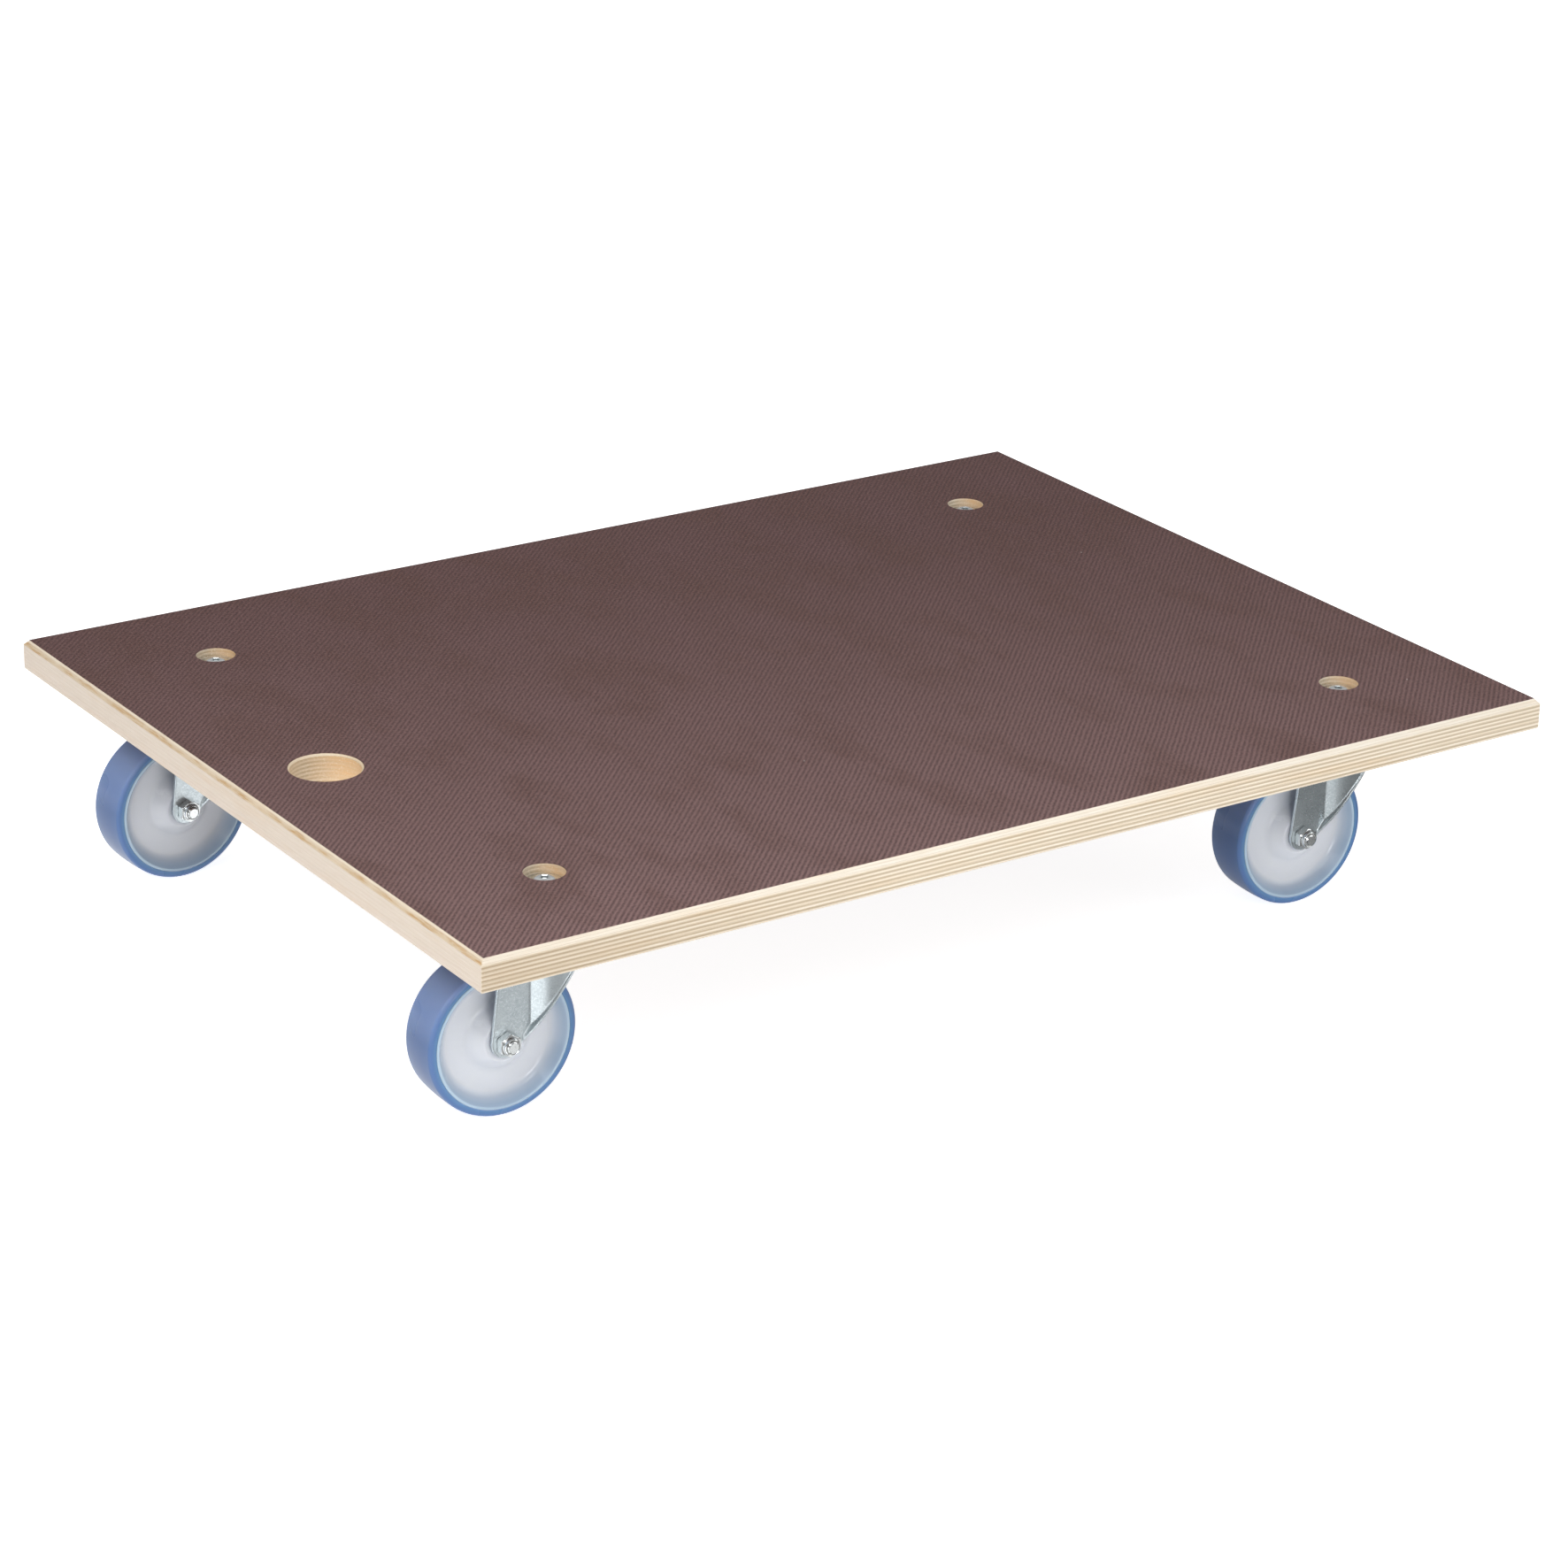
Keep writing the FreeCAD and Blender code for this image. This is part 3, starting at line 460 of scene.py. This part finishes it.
def tyre_blue():
    """Blue elastic polyurethane: semi-gloss, a little translucent, faint dust on the tread, painted light on
    whatever faces up.
    """
    f = Finish("tyre_blue")
    cloud = f.noise(30.0, detail=1.0)
    grain = f.noise(1500.0, detail=2.0)
    radius = wheel_radius_of(f)
    colour = f.mix(cloud, rgb(0.080, 0.165, 0.36), rgb(0.108, 0.195, 0.40))
    near_rim = f.between(radius, 45 * MM, 48.0 * MM, 0.75, 0.0)
    colour = f.mix(near_rim, colour, rgb(0.13, 0.28, 0.49))
    tread = f.between(radius, 49.2 * MM, 49.9 * MM)
    colour = f.mix(tread, colour, rgb(0.60, 0.69, 0.80), "MULTIPLY")
    dust = f.times(tread, f.between(cloud, 0.1, 0.9, 0.0, 0.08))
    colour = f.mix(dust, colour, rgb(0.28, 0.31, 0.46))
    # painted light: whatever faces up in the world is painted paler, as under a wide soft light; the world's
    # normal keeps the paler side on top as the wheel rolls
    faces_up_painted_light = f.parts(f.node("NewGeometry", {}, output="Normal"))[2]
    colour = f.mix(f.between(faces_up_painted_light, 0.1, 0.75, 0.0, 0.95), colour, rgb(0.30, 0.40, 0.67))
    f.set(base_color=colour, roughness=f.between(cloud, 0.1, 0.9, 0.24, 0.34),
          subsurface_weight=0.35, subsurface_radius=(3.0 * MM, 5.0 * MM, 9.0 * MM), subsurface_scale=1.0,
          specular_ior_level=0.4, normal=f.bump(grain, 0.05, 0.1 * MM))
    return f.material


def hub_white():
    """Natural white polyamide; the tyre's blue shows through the thin rim; painted shade darkens the dish and its
    rim wall.
    """
    f = Finish("hub_white")
    radius = wheel_radius_of(f)
    cloud = f.noise(40.0, detail=3.0)
    grain = f.noise(1800.0, detail=2.0)
    flow = f.noise(25.0, stretch=(1, 4, 1), detail=5.0)
    colour = f.mix(cloud, rgb(0.66, 0.685, 0.735), rgb(0.73, 0.75, 0.785))
    colour = f.mix(f.between(flow, 0.55, 0.75, 0.0, 0.12), colour, rgb(0.66, 0.65, 0.75))
    # partly real, partly painted shade: the tyre's blue shows through the thin rim, and the rim's wall is painted
    # a darker blue-grey as the shaded side of the dish
    rim = f.between(radius, 35.0 * MM, 41.5 * MM, 0.0, 0.85)
    colour = f.mix(rim, colour, rgb(0.33, 0.45, 0.60))
    lip = f.between(radius, 42.4 * MM, 43.9 * MM, 0.0, 0.5)
    colour = f.mix(lip, colour, rgb(0.50, 0.66, 0.76))
    # painted shade: the dish is darkened where the boss, the rim and the fork close it in
    dish_shade = f.shelter(16 * MM)
    colour = f.mix(f.between(dish_shade, 0.35, 0.95, 0.75, 0.0), colour, rgb(0.55, 0.58, 0.64), "MULTIPLY")
    f.set(base_color=colour, roughness=f.between(cloud, 0.3, 0.7, 0.20, 0.28),
          subsurface_weight=0.35, subsurface_radius=(2.5 * MM, 2.5 * MM, 3.0 * MM), subsurface_scale=1.0,
          normal=f.bump(grain, 0.04, 0.1 * MM))
    return f.material


def bush_bronze():
    """Sintered bronze of the bearing bushes."""
    f = Finish("bush_bronze")
    pores = f.noise(2200.0, detail=2.0)
    colour = f.mix(pores, rgb(0.42, 0.27, 0.12), rgb(0.62, 0.44, 0.22))
    f.set(base_color=colour, metallic=0.9, roughness=0.42, normal=f.bump(pores, 0.2, 0.1 * MM))
    return f.material


def ball_steel():
    """Polished steel of the balls in the swivel heads."""
    f = Finish("ball_steel")
    film = f.noise(200.0, detail=2.0)
    colour = f.mix(film, rgb(0.62, 0.60, 0.56), rgb(0.80, 0.80, 0.80))
    f.set(base_color=colour, metallic=1.0, roughness=f.between(film, 0.3, 0.7, 0.08, 0.2))
    return f.material


def locking_ring():
    """The nylon ring inside a lock nut's collar."""
    f = Finish("locking_ring")
    tone = f.noise(400.0, detail=2.0)
    f.set(base_color=f.mix(tone, rgb(0.60, 0.62, 0.60), rgb(0.74, 0.75, 0.72)), roughness=0.45)
    return f.material


FINISHES = {
    "birch_plywood": birch_plywood(),
    "grip_film": mesh_film(),
    "smooth_film": smooth_film(),
    "zinc_sheet": zinc_sheet(),
    "zinc_fastener": zinc_fastener(),
    "ball_steel": ball_steel(),
    "hub_plastic": hub_white(),
    "tyre": tyre_blue(),
    "bush_bronze": bush_bronze(),
    "locking_ring": locking_ring(),
}

# the CAD pieces take the finishes that the record names for them
for entry in frame["record"]["subparts"]:
    slots = frame["nodes"][entry["node"]].material_slots
    slots[0].material = FINISHES[entry["material_slot"]]


# ---------------------------------------------------------------- deck board
def rectangle_ring(bm, inset, height, steps=4):
    """A loop round the deck at a height, with slightly eased upright corners."""
    ease = 0.8 * MM
    half_x = DECK_HIGH.x - inset - ease
    half_y = DECK_HIGH.y - inset - ease
    ring = []
    for quarter, (side_x, side_y) in enumerate(((1, 1), (-1, 1), (-1, -1), (1, -1))):
        for step in range(steps + 1):
            angle = math.pi / 2 * (quarter + step / steps)
            ring.append(bm.verts.new((
                side_x * half_x + ease * math.cos(angle), side_y * half_y + ease * math.sin(angle), height)))
    return ring


def round_ring(bm, centre, radius, height, segments=96):
    """A loop round a hole at a height."""
    ring = []
    for index in range(segments):
        angle = ROUND * index / segments
        ring.append(bm.verts.new((
            centre.x + radius * math.cos(angle), centre.y + radius * math.sin(angle), height)))
    return ring


def join_rings(bm, lower, upper):
    """A band of faces between two loops of equal count."""
    count = len(lower)
    for index in range(count):
        after = (index + 1) % count
        bm.faces.new((lower[index], lower[after], upper[after], upper[index]))


def ring_edges(bm, ring):
    return [bm.edges.get((ring[index - 1], ring[index])) for index in range(len(ring))]


def ply_heights(low, high):
    """Heights between two levels: both ends, and a fine groove at each glue line."""
    groove = 0.08 * MM
    heights = [(low, 0.0)]
    for ply in range(1, PLY_COUNT):
        line = DECK_LOW.z + ply * PLY
        if low + groove < line < high - groove:
            heights += [(line - groove, 0.0), (line, 1.0), (line + groove, 0.0)]
    heights.append((high, 0.0))
    return heights


def deck_mesh():
    """The plywood board with glue-line grooves in its edges and in the walls of its holes."""
    groove_depth = 0.07 * MM
    top_bevel = DECK_HIGH.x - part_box("top_grip_film")[1].x
    bottom_bevel = DECK_HIGH.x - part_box("bottom_film")[1].x
    film = DECK_TOP - DECK_HIGH.z
    top_knee = DECK_HIGH.z - top_bevel
    bottom_knee = DECK_LOW.z + bottom_bevel
    bm = bmesh.new()

    def edge_inset(height):
        return max(0.0, height - top_knee, bottom_knee - height)

    outer = []
    levels = ply_heights(DECK_LOW.z, bottom_knee)[:-1] + ply_heights(bottom_knee, top_knee)
    levels += ply_heights(top_knee, DECK_HIGH.z)[1:]
    for height, groove in levels:
        outer.append(rectangle_ring(bm, edge_inset(height) + groove * groove_depth, height))
    tops = [outer[-1]]
    bottoms = [outer[0]]
    for lower, upper in zip(outer, outer[1:]):
        join_rings(bm, lower, upper)

    grip = grip_hole()
    wall = []
    for height, groove in ply_heights(DECK_LOW.z, DECK_HIGH.z):
        flare = max(0.0, grip["chamfer"] - film - min(height - DECK_LOW.z, DECK_HIGH.z - height))
        radius = grip["radius"] + flare + groove * groove_depth
        wall.append(round_ring(bm, grip["centre"], radius, height, segments=144))
    tops.append(wall[-1])
    bottoms.append(wall[0])
    for lower, upper in zip(wall, wall[1:]):
        join_rings(bm, upper, lower)

    recess_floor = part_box("mounting_washers")[0].z
    for corner in CORNERS:
        centre = swivel_place(corner)
        hole = []
        for height, groove in ply_heights(DECK_LOW.z, recess_floor):
            hole.append(round_ring(bm, centre, BOLT_HOLE_RADIUS + groove * groove_depth, height))
        for height, groove in ply_heights(recess_floor, DECK_HIGH.z):
            hole.append(round_ring(bm, centre, RECESS_RADIUS + groove * groove_depth, height))
        tops.append(hole[-1])
        bottoms.append(hole[0])
        for lower, upper in zip(hole, hole[1:]):
            join_rings(bm, upper, lower)

    for rings in (tops, bottoms):
        edges = []
        for ring in rings:
            edges += ring_edges(bm, ring)
        bmesh.ops.triangle_fill(bm, edges=edges, use_beauty=True)
    return finish_mesh(bm, "plywood_board", sharp_degrees=25)


board = deck_mesh()
board.materials.append(FINISHES["birch_plywood"])
add_piece("plywood_board_piece", board, "deck", "deck_board")


# ---------------------------------------------------------------- wheels
def tyre_mesh():
    """A tyre with round shoulders and a slightly crowned tread; an inner rib keys it to the hub."""
    outer = extent(PATTERN + "_tyre").z / 2
    half = extent(PATTERN + "_tyre").y / 2
    rim = extent(PATTERN + "_hub").z / 2
    shoulder = 3.2 * MM
    crown_drop = 0.45 * MM
    tread_edge = half - shoulder
    rib_reach = rim - 2.4 * MM
    rib_half = 4.9 * MM
    slot_half = 5.0 * MM
    profile = soften([
        (rim - 0.2 * MM, -half + 0.6 * MM, 0),
        (rim + 0.25 * MM, -half + 0.05 * MM, 0.2 * MM),
        (outer - crown_drop - 0.2 * MM, -half, shoulder * 0.93),
        (outer - crown_drop, -tread_edge, 0),
    ], 12)
    profile = [tuple(point) for point in profile]
    tread = []
    for step in range(1, 8):
        across = -tread_edge * (1 - step / 8)
        tread.append((outer - crown_drop * (across / tread_edge) ** 2, across))
    left = profile + tread
    right = [(radius, -across) for radius, across in reversed(left)]
    ring = left + [(outer, 0.0)] + right
    rib = [(rim, slot_half), (rib_reach, rib_half), (rib_reach, -rib_half), (rim, -slot_half)]
    stations = ring + rib + [ring[0]]
    return turned("tyre_mesh", stations, "tyre", WHEEL_CENTRE, axis="Y", segments=192)


def hub_mesh():
    """A dished hub: a soft conical boss, a flat web and a rim that flares out to a thin lip."""
    rim = extent(PATTERN + "_hub").z / 2
    boss_half = extent(PATTERN + "_hub").y / 2
    bore = extent(PATTERN + "_hub_bush").z / 2 + 0.05 * MM
    rim_half = extent(PATTERN + "_tyre").y / 2
    web = 8.0 * MM
    key_half = 5.0 * MM
    half = soften([
        (bore, boss_half - 0.6 * MM, 0),
        (bore + 0.6 * MM, boss_half, 0.2 * MM),
        (13.0 * MM, boss_half, 2.5 * MM),
        (22.0 * MM, web, 7.0 * MM),
        (37.0 * MM, web, 7.5 * MM),
        (rim - 1.7 * MM, rim_half, 0.8 * MM),
        (rim, rim_half, 0.4 * MM),
        (rim - 0.05 * MM, key_half, 0),
        (rim - 2.5 * MM, key_half, 0),
    ], 10)
    half = [tuple(point) for point in half]
    other = [(radius, -across) for radius, across in reversed(half)]
    stations = half + other + [half[0]]
    return turned("hub_mesh", stations, "hub_plastic", WHEEL_CENTRE, axis="Y", segments=192)


on_casters("tyre", tyre_mesh(), "wheel")
on_casters("hub", hub_mesh(), "wheel")


# ---------------------------------------------------------------- forks
def fork_mesh():
    """The CAD fork remeshed finely and smoothed, so that its pressed edges come out round."""
    source = frame["nodes"][PATTERN + "_fork"]
    work = bpy.data.objects.new("fork_work", source.data.copy())
    work.data.transform(Matrix.Translation(-swivel_place(PATTERN)))
    bpy.context.scene.collection.objects.link(work)
    remesh = work.modifiers.new("remesh", "REMESH")
    remesh.mode = "VOXEL"
    remesh.voxel_size = 0.45 * MM
    smooth = work.modifiers.new("smooth", "SMOOTH")
    smooth.iterations = 9
    smooth.factor = 0.5
    thin = work.modifiers.new("thin", "DECIMATE")
    thin.ratio = 0.4
    evaluated = work.evaluated_get(bpy.context.evaluated_depsgraph_get())
    mesh = bpy.data.meshes.new_from_object(evaluated)
    bpy.data.objects.remove(work)
    mesh.name = "pressed_fork"
    mesh.materials.clear()
    mesh.materials.append(FINISHES["zinc_sheet"])
    mesh.polygons.foreach_set("use_smooth", [True] * len(mesh.polygons))
    return mesh


on_casters("fork", fork_mesh(), "swivel_fork")


# ---------------------------------------------------------------- fasteners
# the bevel and the collar's radius are shares of the width across flats
HEX_BEVEL = 0.07
COLLAR_RADIUS = 0.42
COLLAR_LIP = 1.1 * MM


def hexagon_bevel(across_flats, cut, start, rise, steps):
    """Stations up a hexagon's end, over which a bevel takes ever less off its corners."""
    corner = across_flats / math.sqrt(3)
    stations = []
    for step in range(steps + 1):
        limit = corner - cut * (1 - step / steps)
        stations.append((hexagon(across_flats, limit), start + rise * step / steps))
    return stations


def hexagon_top(across_flats, top):
    """Stations of the bevel at a hexagon's top, in rising order."""
    bevel = HEX_BEVEL * across_flats
    return hexagon_bevel(across_flats, bevel, top, -bevel * 0.5, 4)[::-1]


def nut_stations(across_flats, bore, height):
    """A lock nut from its bearing face up to the collar that holds the nylon ring."""
    bevel = HEX_BEVEL * across_flats
    collar = COLLAR_RADIUS * across_flats
    hex_top = 0.70 * height
    stations = [(bore, 0.3 * MM), (bore + 0.3 * MM, 0.0)]
    stations += hexagon_bevel(across_flats, bevel, 0.0, bevel * 0.5, 4)
    stations += hexagon_top(across_flats, hex_top)
    stations += [
        (collar + 0.25 * MM, hex_top + 0.10 * MM),
        (collar, hex_top + 0.5 * MM),
        (collar, height - 0.9 * MM),
        (collar - 0.25 * MM, height - 0.3 * MM),
        (collar - 0.7 * MM, height),
        (collar - 1.0 * MM, height - 0.1 * MM),
        (collar - COLLAR_LIP, height - 0.5 * MM),
        (bore, height - 0.5 * MM),
    ]
    stations.append(stations[0])
    return stations


def ring_stations(across_flats, bore, height):
    """The nylon ring that sits in the nut's collar."""
    outer = COLLAR_RADIUS * across_flats - COLLAR_LIP
    top = height - 0.25 * MM
    stations = [(bore, top - 1.2 * MM), (outer, top - 1.2 * MM), (outer, top), (bore + 0.15 * MM, top),
                (bore, top - 0.15 * MM)]
    stations.append(stations[0])
    return stations


def threaded_stations(radius, pitch, low, high, step=0.16 * MM):
    """Stations up a threaded shank that starts with a bevelled end."""
    bevel = 0.8 * MM
    stations = [(0, low), (radius - bevel - 0.1 * MM, low)]
    count = int((high - low) / step)
    for index in range(1, count + 1):
        height = low + index * step
        fade = min(1.0, (index * step) / bevel)
        stations.append((thread(radius - bevel * (1 - fade), pitch, height), height))
    stations.append((0, high))
    return stations


def joined(name, meshes):
    """One mesh from several, each keeping its own material."""
    bm = bmesh.new()
    result = bpy.data.meshes.new(name)
    for index, mesh in enumerate(meshes):
        start = len(bm.faces)
        bm.from_mesh(mesh)
        bm.faces.ensure_lookup_table()
        for face in bm.faces[start:]:
            face.material_index = index
        result.materials.append(mesh.materials[0])
        bpy.data.meshes.remove(mesh)
    bm.to_mesh(result)
    bm.free()
    return result


def flipped(stations, base):
    """Stations pointing down the axis from a base height instead of up."""
    return [(shape, base - height) for shape, height in stations]


def axle_nut_mesh():
    low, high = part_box(PATTERN + "_axle_nut")
    height = high.y - low.y
    across_flats = high.z - low.z
    seat = high.y - WHEEL_PLANE
    bore = 4.05 * MM
    nut = flipped(nut_stations(across_flats, bore, height), seat)
    ring = flipped(ring_stations(across_flats, bore, height), seat)
    return joined("axle_nut_mesh", [
        turned("nut", nut, "zinc_fastener", WHEEL_CENTRE, axis="Y", segments=72, sharp_degrees=30),
        turned("ring", ring, "locking_ring", WHEEL_CENTRE, axis="Y", segments=72)])


def axle_bolt_mesh():
    """The axle bolt: its hexagon head at the +Y end, and its thread out through the nut."""
    low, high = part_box(PATTERN + "_axle_bolt")
    radius = 4.0 * MM
    pitch = 1.25 * MM
    across_flats = high.z - low.z
    corner = across_flats / math.sqrt(3)
    bevel = HEX_BEVEL * across_flats
    head_height = 5.3 * MM
    top = high.y - WHEEL_PLANE
    seat = top - head_height
    end = low.y - WHEEL_PLANE
    thread_top = -extent(PATTERN + "_axle_tube").y / 2
    shank = threaded_stations(radius, pitch, end, thread_top)[:-1]
    shank += [(radius, thread_top + 0.3 * MM), (radius, seat)]
    shank += hexagon_bevel(across_flats, bevel * 0.4, seat, 0.25 * MM, 3)
    shank += hexagon_top(across_flats, top)
    shank += [
        (corner - 1.6 * bevel, top - 0.05 * MM),
        (corner - 1.9 * bevel, top - 0.25 * MM),
        (0, top - 0.25 * MM),
    ]
    return turned("axle_bolt_mesh", shank, "zinc_fastener", WHEEL_CENTRE,
                  axis="Y", segments=72, sharp_degrees=30)


def corner_screw_mesh():
    """The M10 screw with its low button head, its hexagon socket and the thread below the head."""
    low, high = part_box("mounting_bolts")
    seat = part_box("mounting_washers")[1].z
    head = high.z - seat
    rim = 0.5 * MM
    radius = 5.0 * MM
    head_radius = 7.5 * MM
    socket = 5.0 * MM
    socket_depth = 1.8 * MM
    stations = threaded_stations(radius, 1.5 * MM, low.z, seat - 6 * MM, 0.19 * MM)[:-1]
    stations += [(radius, seat - 5.8 * MM), (radius, seat), (head_radius - 0.2 * MM, seat),
                 (head_radius, seat + 0.2 * MM), (head_radius, seat + rim)]
    for part in range(1, 9):
        turn = math.pi / 2 * part / 9
        reach = head_radius * (0.47 + 0.53 * math.cos(turn))
        stations.append((reach, seat + rim + (head - rim) * math.sin(turn)))
    stations += [
        (head_radius * 0.5, high.z),
        (hexagon(socket + 0.5 * MM), high.z),
        (hexagon(socket), high.z - 0.3 * MM),
        (hexagon(socket), high.z - socket_depth),
        (0, high.z - socket_depth - 0.8 * MM),
    ]
    return turned("corner_screw_mesh", stations, "zinc_fastener", sharp_degrees=30)


def washer_mesh():
    low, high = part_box("mounting_washers")
    outer = 12.0 * MM
    bore = 5.25 * MM
    ease = 0.35 * MM
    stations = [(bore, low.z), (outer - ease, low.z), (outer, low.z + ease), (outer, high.z - ease),
                (outer - ease * 0.3, high.z - ease * 0.3), (outer - ease, high.z), (bore + ease, high.z),
                (bore, high.z - ease)]
    stations.append(stations[0])
    return turned("washer_mesh", stations, "zinc_fastener", sharp_degrees=30)


def corner_nut_mesh():
    low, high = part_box("mounting_nuts")
    height = high.z - low.z
    bore = 5.05 * MM
    across_flats = 17 * MM
    nut = flipped(nut_stations(across_flats, bore, height), high.z)
    ring = flipped(ring_stations(across_flats, bore, height), high.z)
    return joined("corner_nut_mesh", [
        turned("nut", nut, "zinc_fastener", segments=72, sharp_degrees=30),
        turned("ring", ring, "locking_ring", segments=72)])


def on_deck_corners(name, mesh, node):
    """A deck fastener repeated at the four corners; together they stand for one CAD node."""
    for corner in CORNERS:
        add_piece(f"{corner}_{name}", mesh, "deck", node, corner)


on_casters("axle_nut", axle_nut_mesh(), "swivel_fork")
on_casters("axle_bolt", axle_bolt_mesh(), "swivel_fork")
on_deck_corners("corner_screw", corner_screw_mesh(), "mounting_bolts")
on_deck_corners("corner_washer", washer_mesh(), "mounting_washers")
on_deck_corners("corner_nut", corner_nut_mesh(), "mounting_nuts")


# ---------------------------------------------------------------- stage, light and camera
def pale_floor():
    """A pale sweep that glows a little towards the camera, as over a light table.

    Diffuse light sees it glow at half strength.  Metal sees a studio floor that brightens from the
    rear left to the front right: dim for rays that head for -Y, lifted for those to the front left.
    """
    f = Finish("pale_floor")
    haze = f.noise(3.0, detail=2.0)
    pale = f.mix(haze, rgb(0.82, 0.82, 0.82), rgb(0.85, 0.85, 0.85))
    rays = f.node("LightPath", {}).node.outputs
    by_camera = rays["Is Camera Ray"]
    by_metal = rays["Is Glossy Ray"]
    x, y = f.parts(f.place)[:2]
    from_x, from_y = f.parts(f.node("NewGeometry", {}, output="Incoming"))[:2]
    heading = f.math("ARCTAN2", f.times(from_x, -1.0), from_y)
    slope = f.minus(f.times(y, 1.15), x)
    spread = f.between(slope, -0.85, 0.3, 0.06, 1.25)
    ahead = f.times(f.between(heading, -0.50, -0.36), f.between(heading, 0.2, 0.5, 1.0, 0.0))
    front_left = f.times(f.between(heading, -1.5, -1.0), f.between(heading, -0.50, -0.36, 1.0, 0.0))
    mirrored = f.times(spread, f.between(ahead, 0.0, 1.0, 1.0, 0.3))
    mirrored = f.plus(mirrored, f.times(front_left, 0.45))
    glow = f.plus(f.times(by_camera, 0.85), f.times(by_metal, mirrored))
    glow = f.plus(glow, f.times(rays["Is Diffuse Ray"], 0.5))
    f.set(base_color=f.mix(by_metal, pale, rgb(0.0, 0.0, 0.0)), roughness=0.9,
          emission_color=rgb(1.0, 1.0, 1.0), emission_strength=glow)
    return f.material


def add_floor():
    """The floor, a hair below the wheels; it is staged, so it is no part of the dolly."""
    size = 12.0
    bm = bmesh.new()
    corners = ((-size, -size), (size, -size), (size, size), (-size, size))
    bm.faces.new([bm.verts.new((x, y, -0.2 * MM)) for x, y in corners])
    mesh = bpy.data.meshes.new("floor")
    bm.to_mesh(mesh)
    bm.free()
    mesh.materials.append(pale_floor())
    floor = bpy.data.objects.new("floor", mesh)
    bpy.context.scene.collection.objects.link(floor)


def add_softbox(name, azimuth, elevation, distance, size, power):
    """A square area light that looks at the dolly; azimuth 0 stands on the -Y side, 90 on the +X side."""
    light = bpy.data.lights.new(name, "AREA")
    light.size = size
    light.energy = power
    lamp = bpy.data.objects.new(name, light)
    bpy.context.scene.collection.objects.link(lamp)
    a = math.radians(azimuth)
    e = math.radians(elevation)
    direction = Vector((math.sin(a) * math.cos(e), -math.cos(a) * math.cos(e), math.sin(e)))
    lamp.location = direction * distance
    lamp.rotation_euler = direction.to_track_quat("Z", "Y").to_euler()


def add_world():
    """A white backdrop for the camera; a studio that darkens towards the horizon for all other rays."""
    world = bpy.data.worlds.new("studio")
    world.use_nodes = True
    nodes = world.node_tree.nodes
    links = world.node_tree.links
    background = nodes["Background"]
    coordinates = nodes.new("ShaderNodeTexCoord")
    height = nodes.new("ShaderNodeSeparateXYZ")
    glow = nodes.new("ShaderNodeMapRange")
    rays = nodes.new("ShaderNodeLightPath")
    choose = nodes.new("ShaderNodeMix")
    for socket, value in (("From Min", 0.05), ("From Max", 0.75), ("To Min", 0.20), ("To Max", 0.62)):
        glow.inputs[socket].default_value = value
    choose.inputs["B"].default_value = 1.0
    links.new(coordinates.outputs["Generated"], height.inputs[0])
    links.new(height.outputs["Z"], glow.inputs["Value"])
    links.new(rays.outputs["Is Camera Ray"], choose.inputs["Factor"])
    links.new(glow.outputs["Result"], choose.inputs["A"])
    links.new(choose.outputs["Result"], background.inputs["Strength"])
    background.inputs["Color"].default_value = rgb(1.0, 1.0, 1.0)
    bpy.context.scene.world = world


def add_camera():
    """A long lens from the front left, high enough to look down on the deck."""
    azimuth = math.radians(-34.24)
    elevation = math.radians(22.28)
    roll = math.radians(1.31)
    distance = 3.096
    target = Vector((0.0030, -0.0071, 0.0649))
    away = Vector((math.sin(azimuth) * math.cos(elevation), -math.cos(azimuth) * math.cos(elevation),
                   math.sin(elevation)))
    data = bpy.data.cameras.new("camera")
    data.sensor_width = 36.0
    data.lens = 107.2
    data.clip_end = 50.0
    camera = bpy.data.objects.new("camera", data)
    bpy.context.scene.collection.objects.link(camera)
    camera.location = target + away * distance
    turn = away.to_track_quat("Z", "Y").to_matrix() @ Matrix.Rotation(roll, 3, "Z")
    camera.rotation_euler = turn.to_euler()
    bpy.context.scene.camera = camera


add_floor()
add_world()
add_softbox("key", -42, 48, 3.0, 1.8, 40)
add_softbox("low_front", -10, 5, 2.6, 0.6, 10)
add_softbox("front_fill", 40, 14, 2.8, 1.4, 8)
add_softbox("left", -77, 35, 2.4, 0.7, 2)
add_softbox("back_left", -120, 9, 2.8, 0.8, 4)
add_camera()
bpy.context.scene.view_settings.view_transform = "Standard"
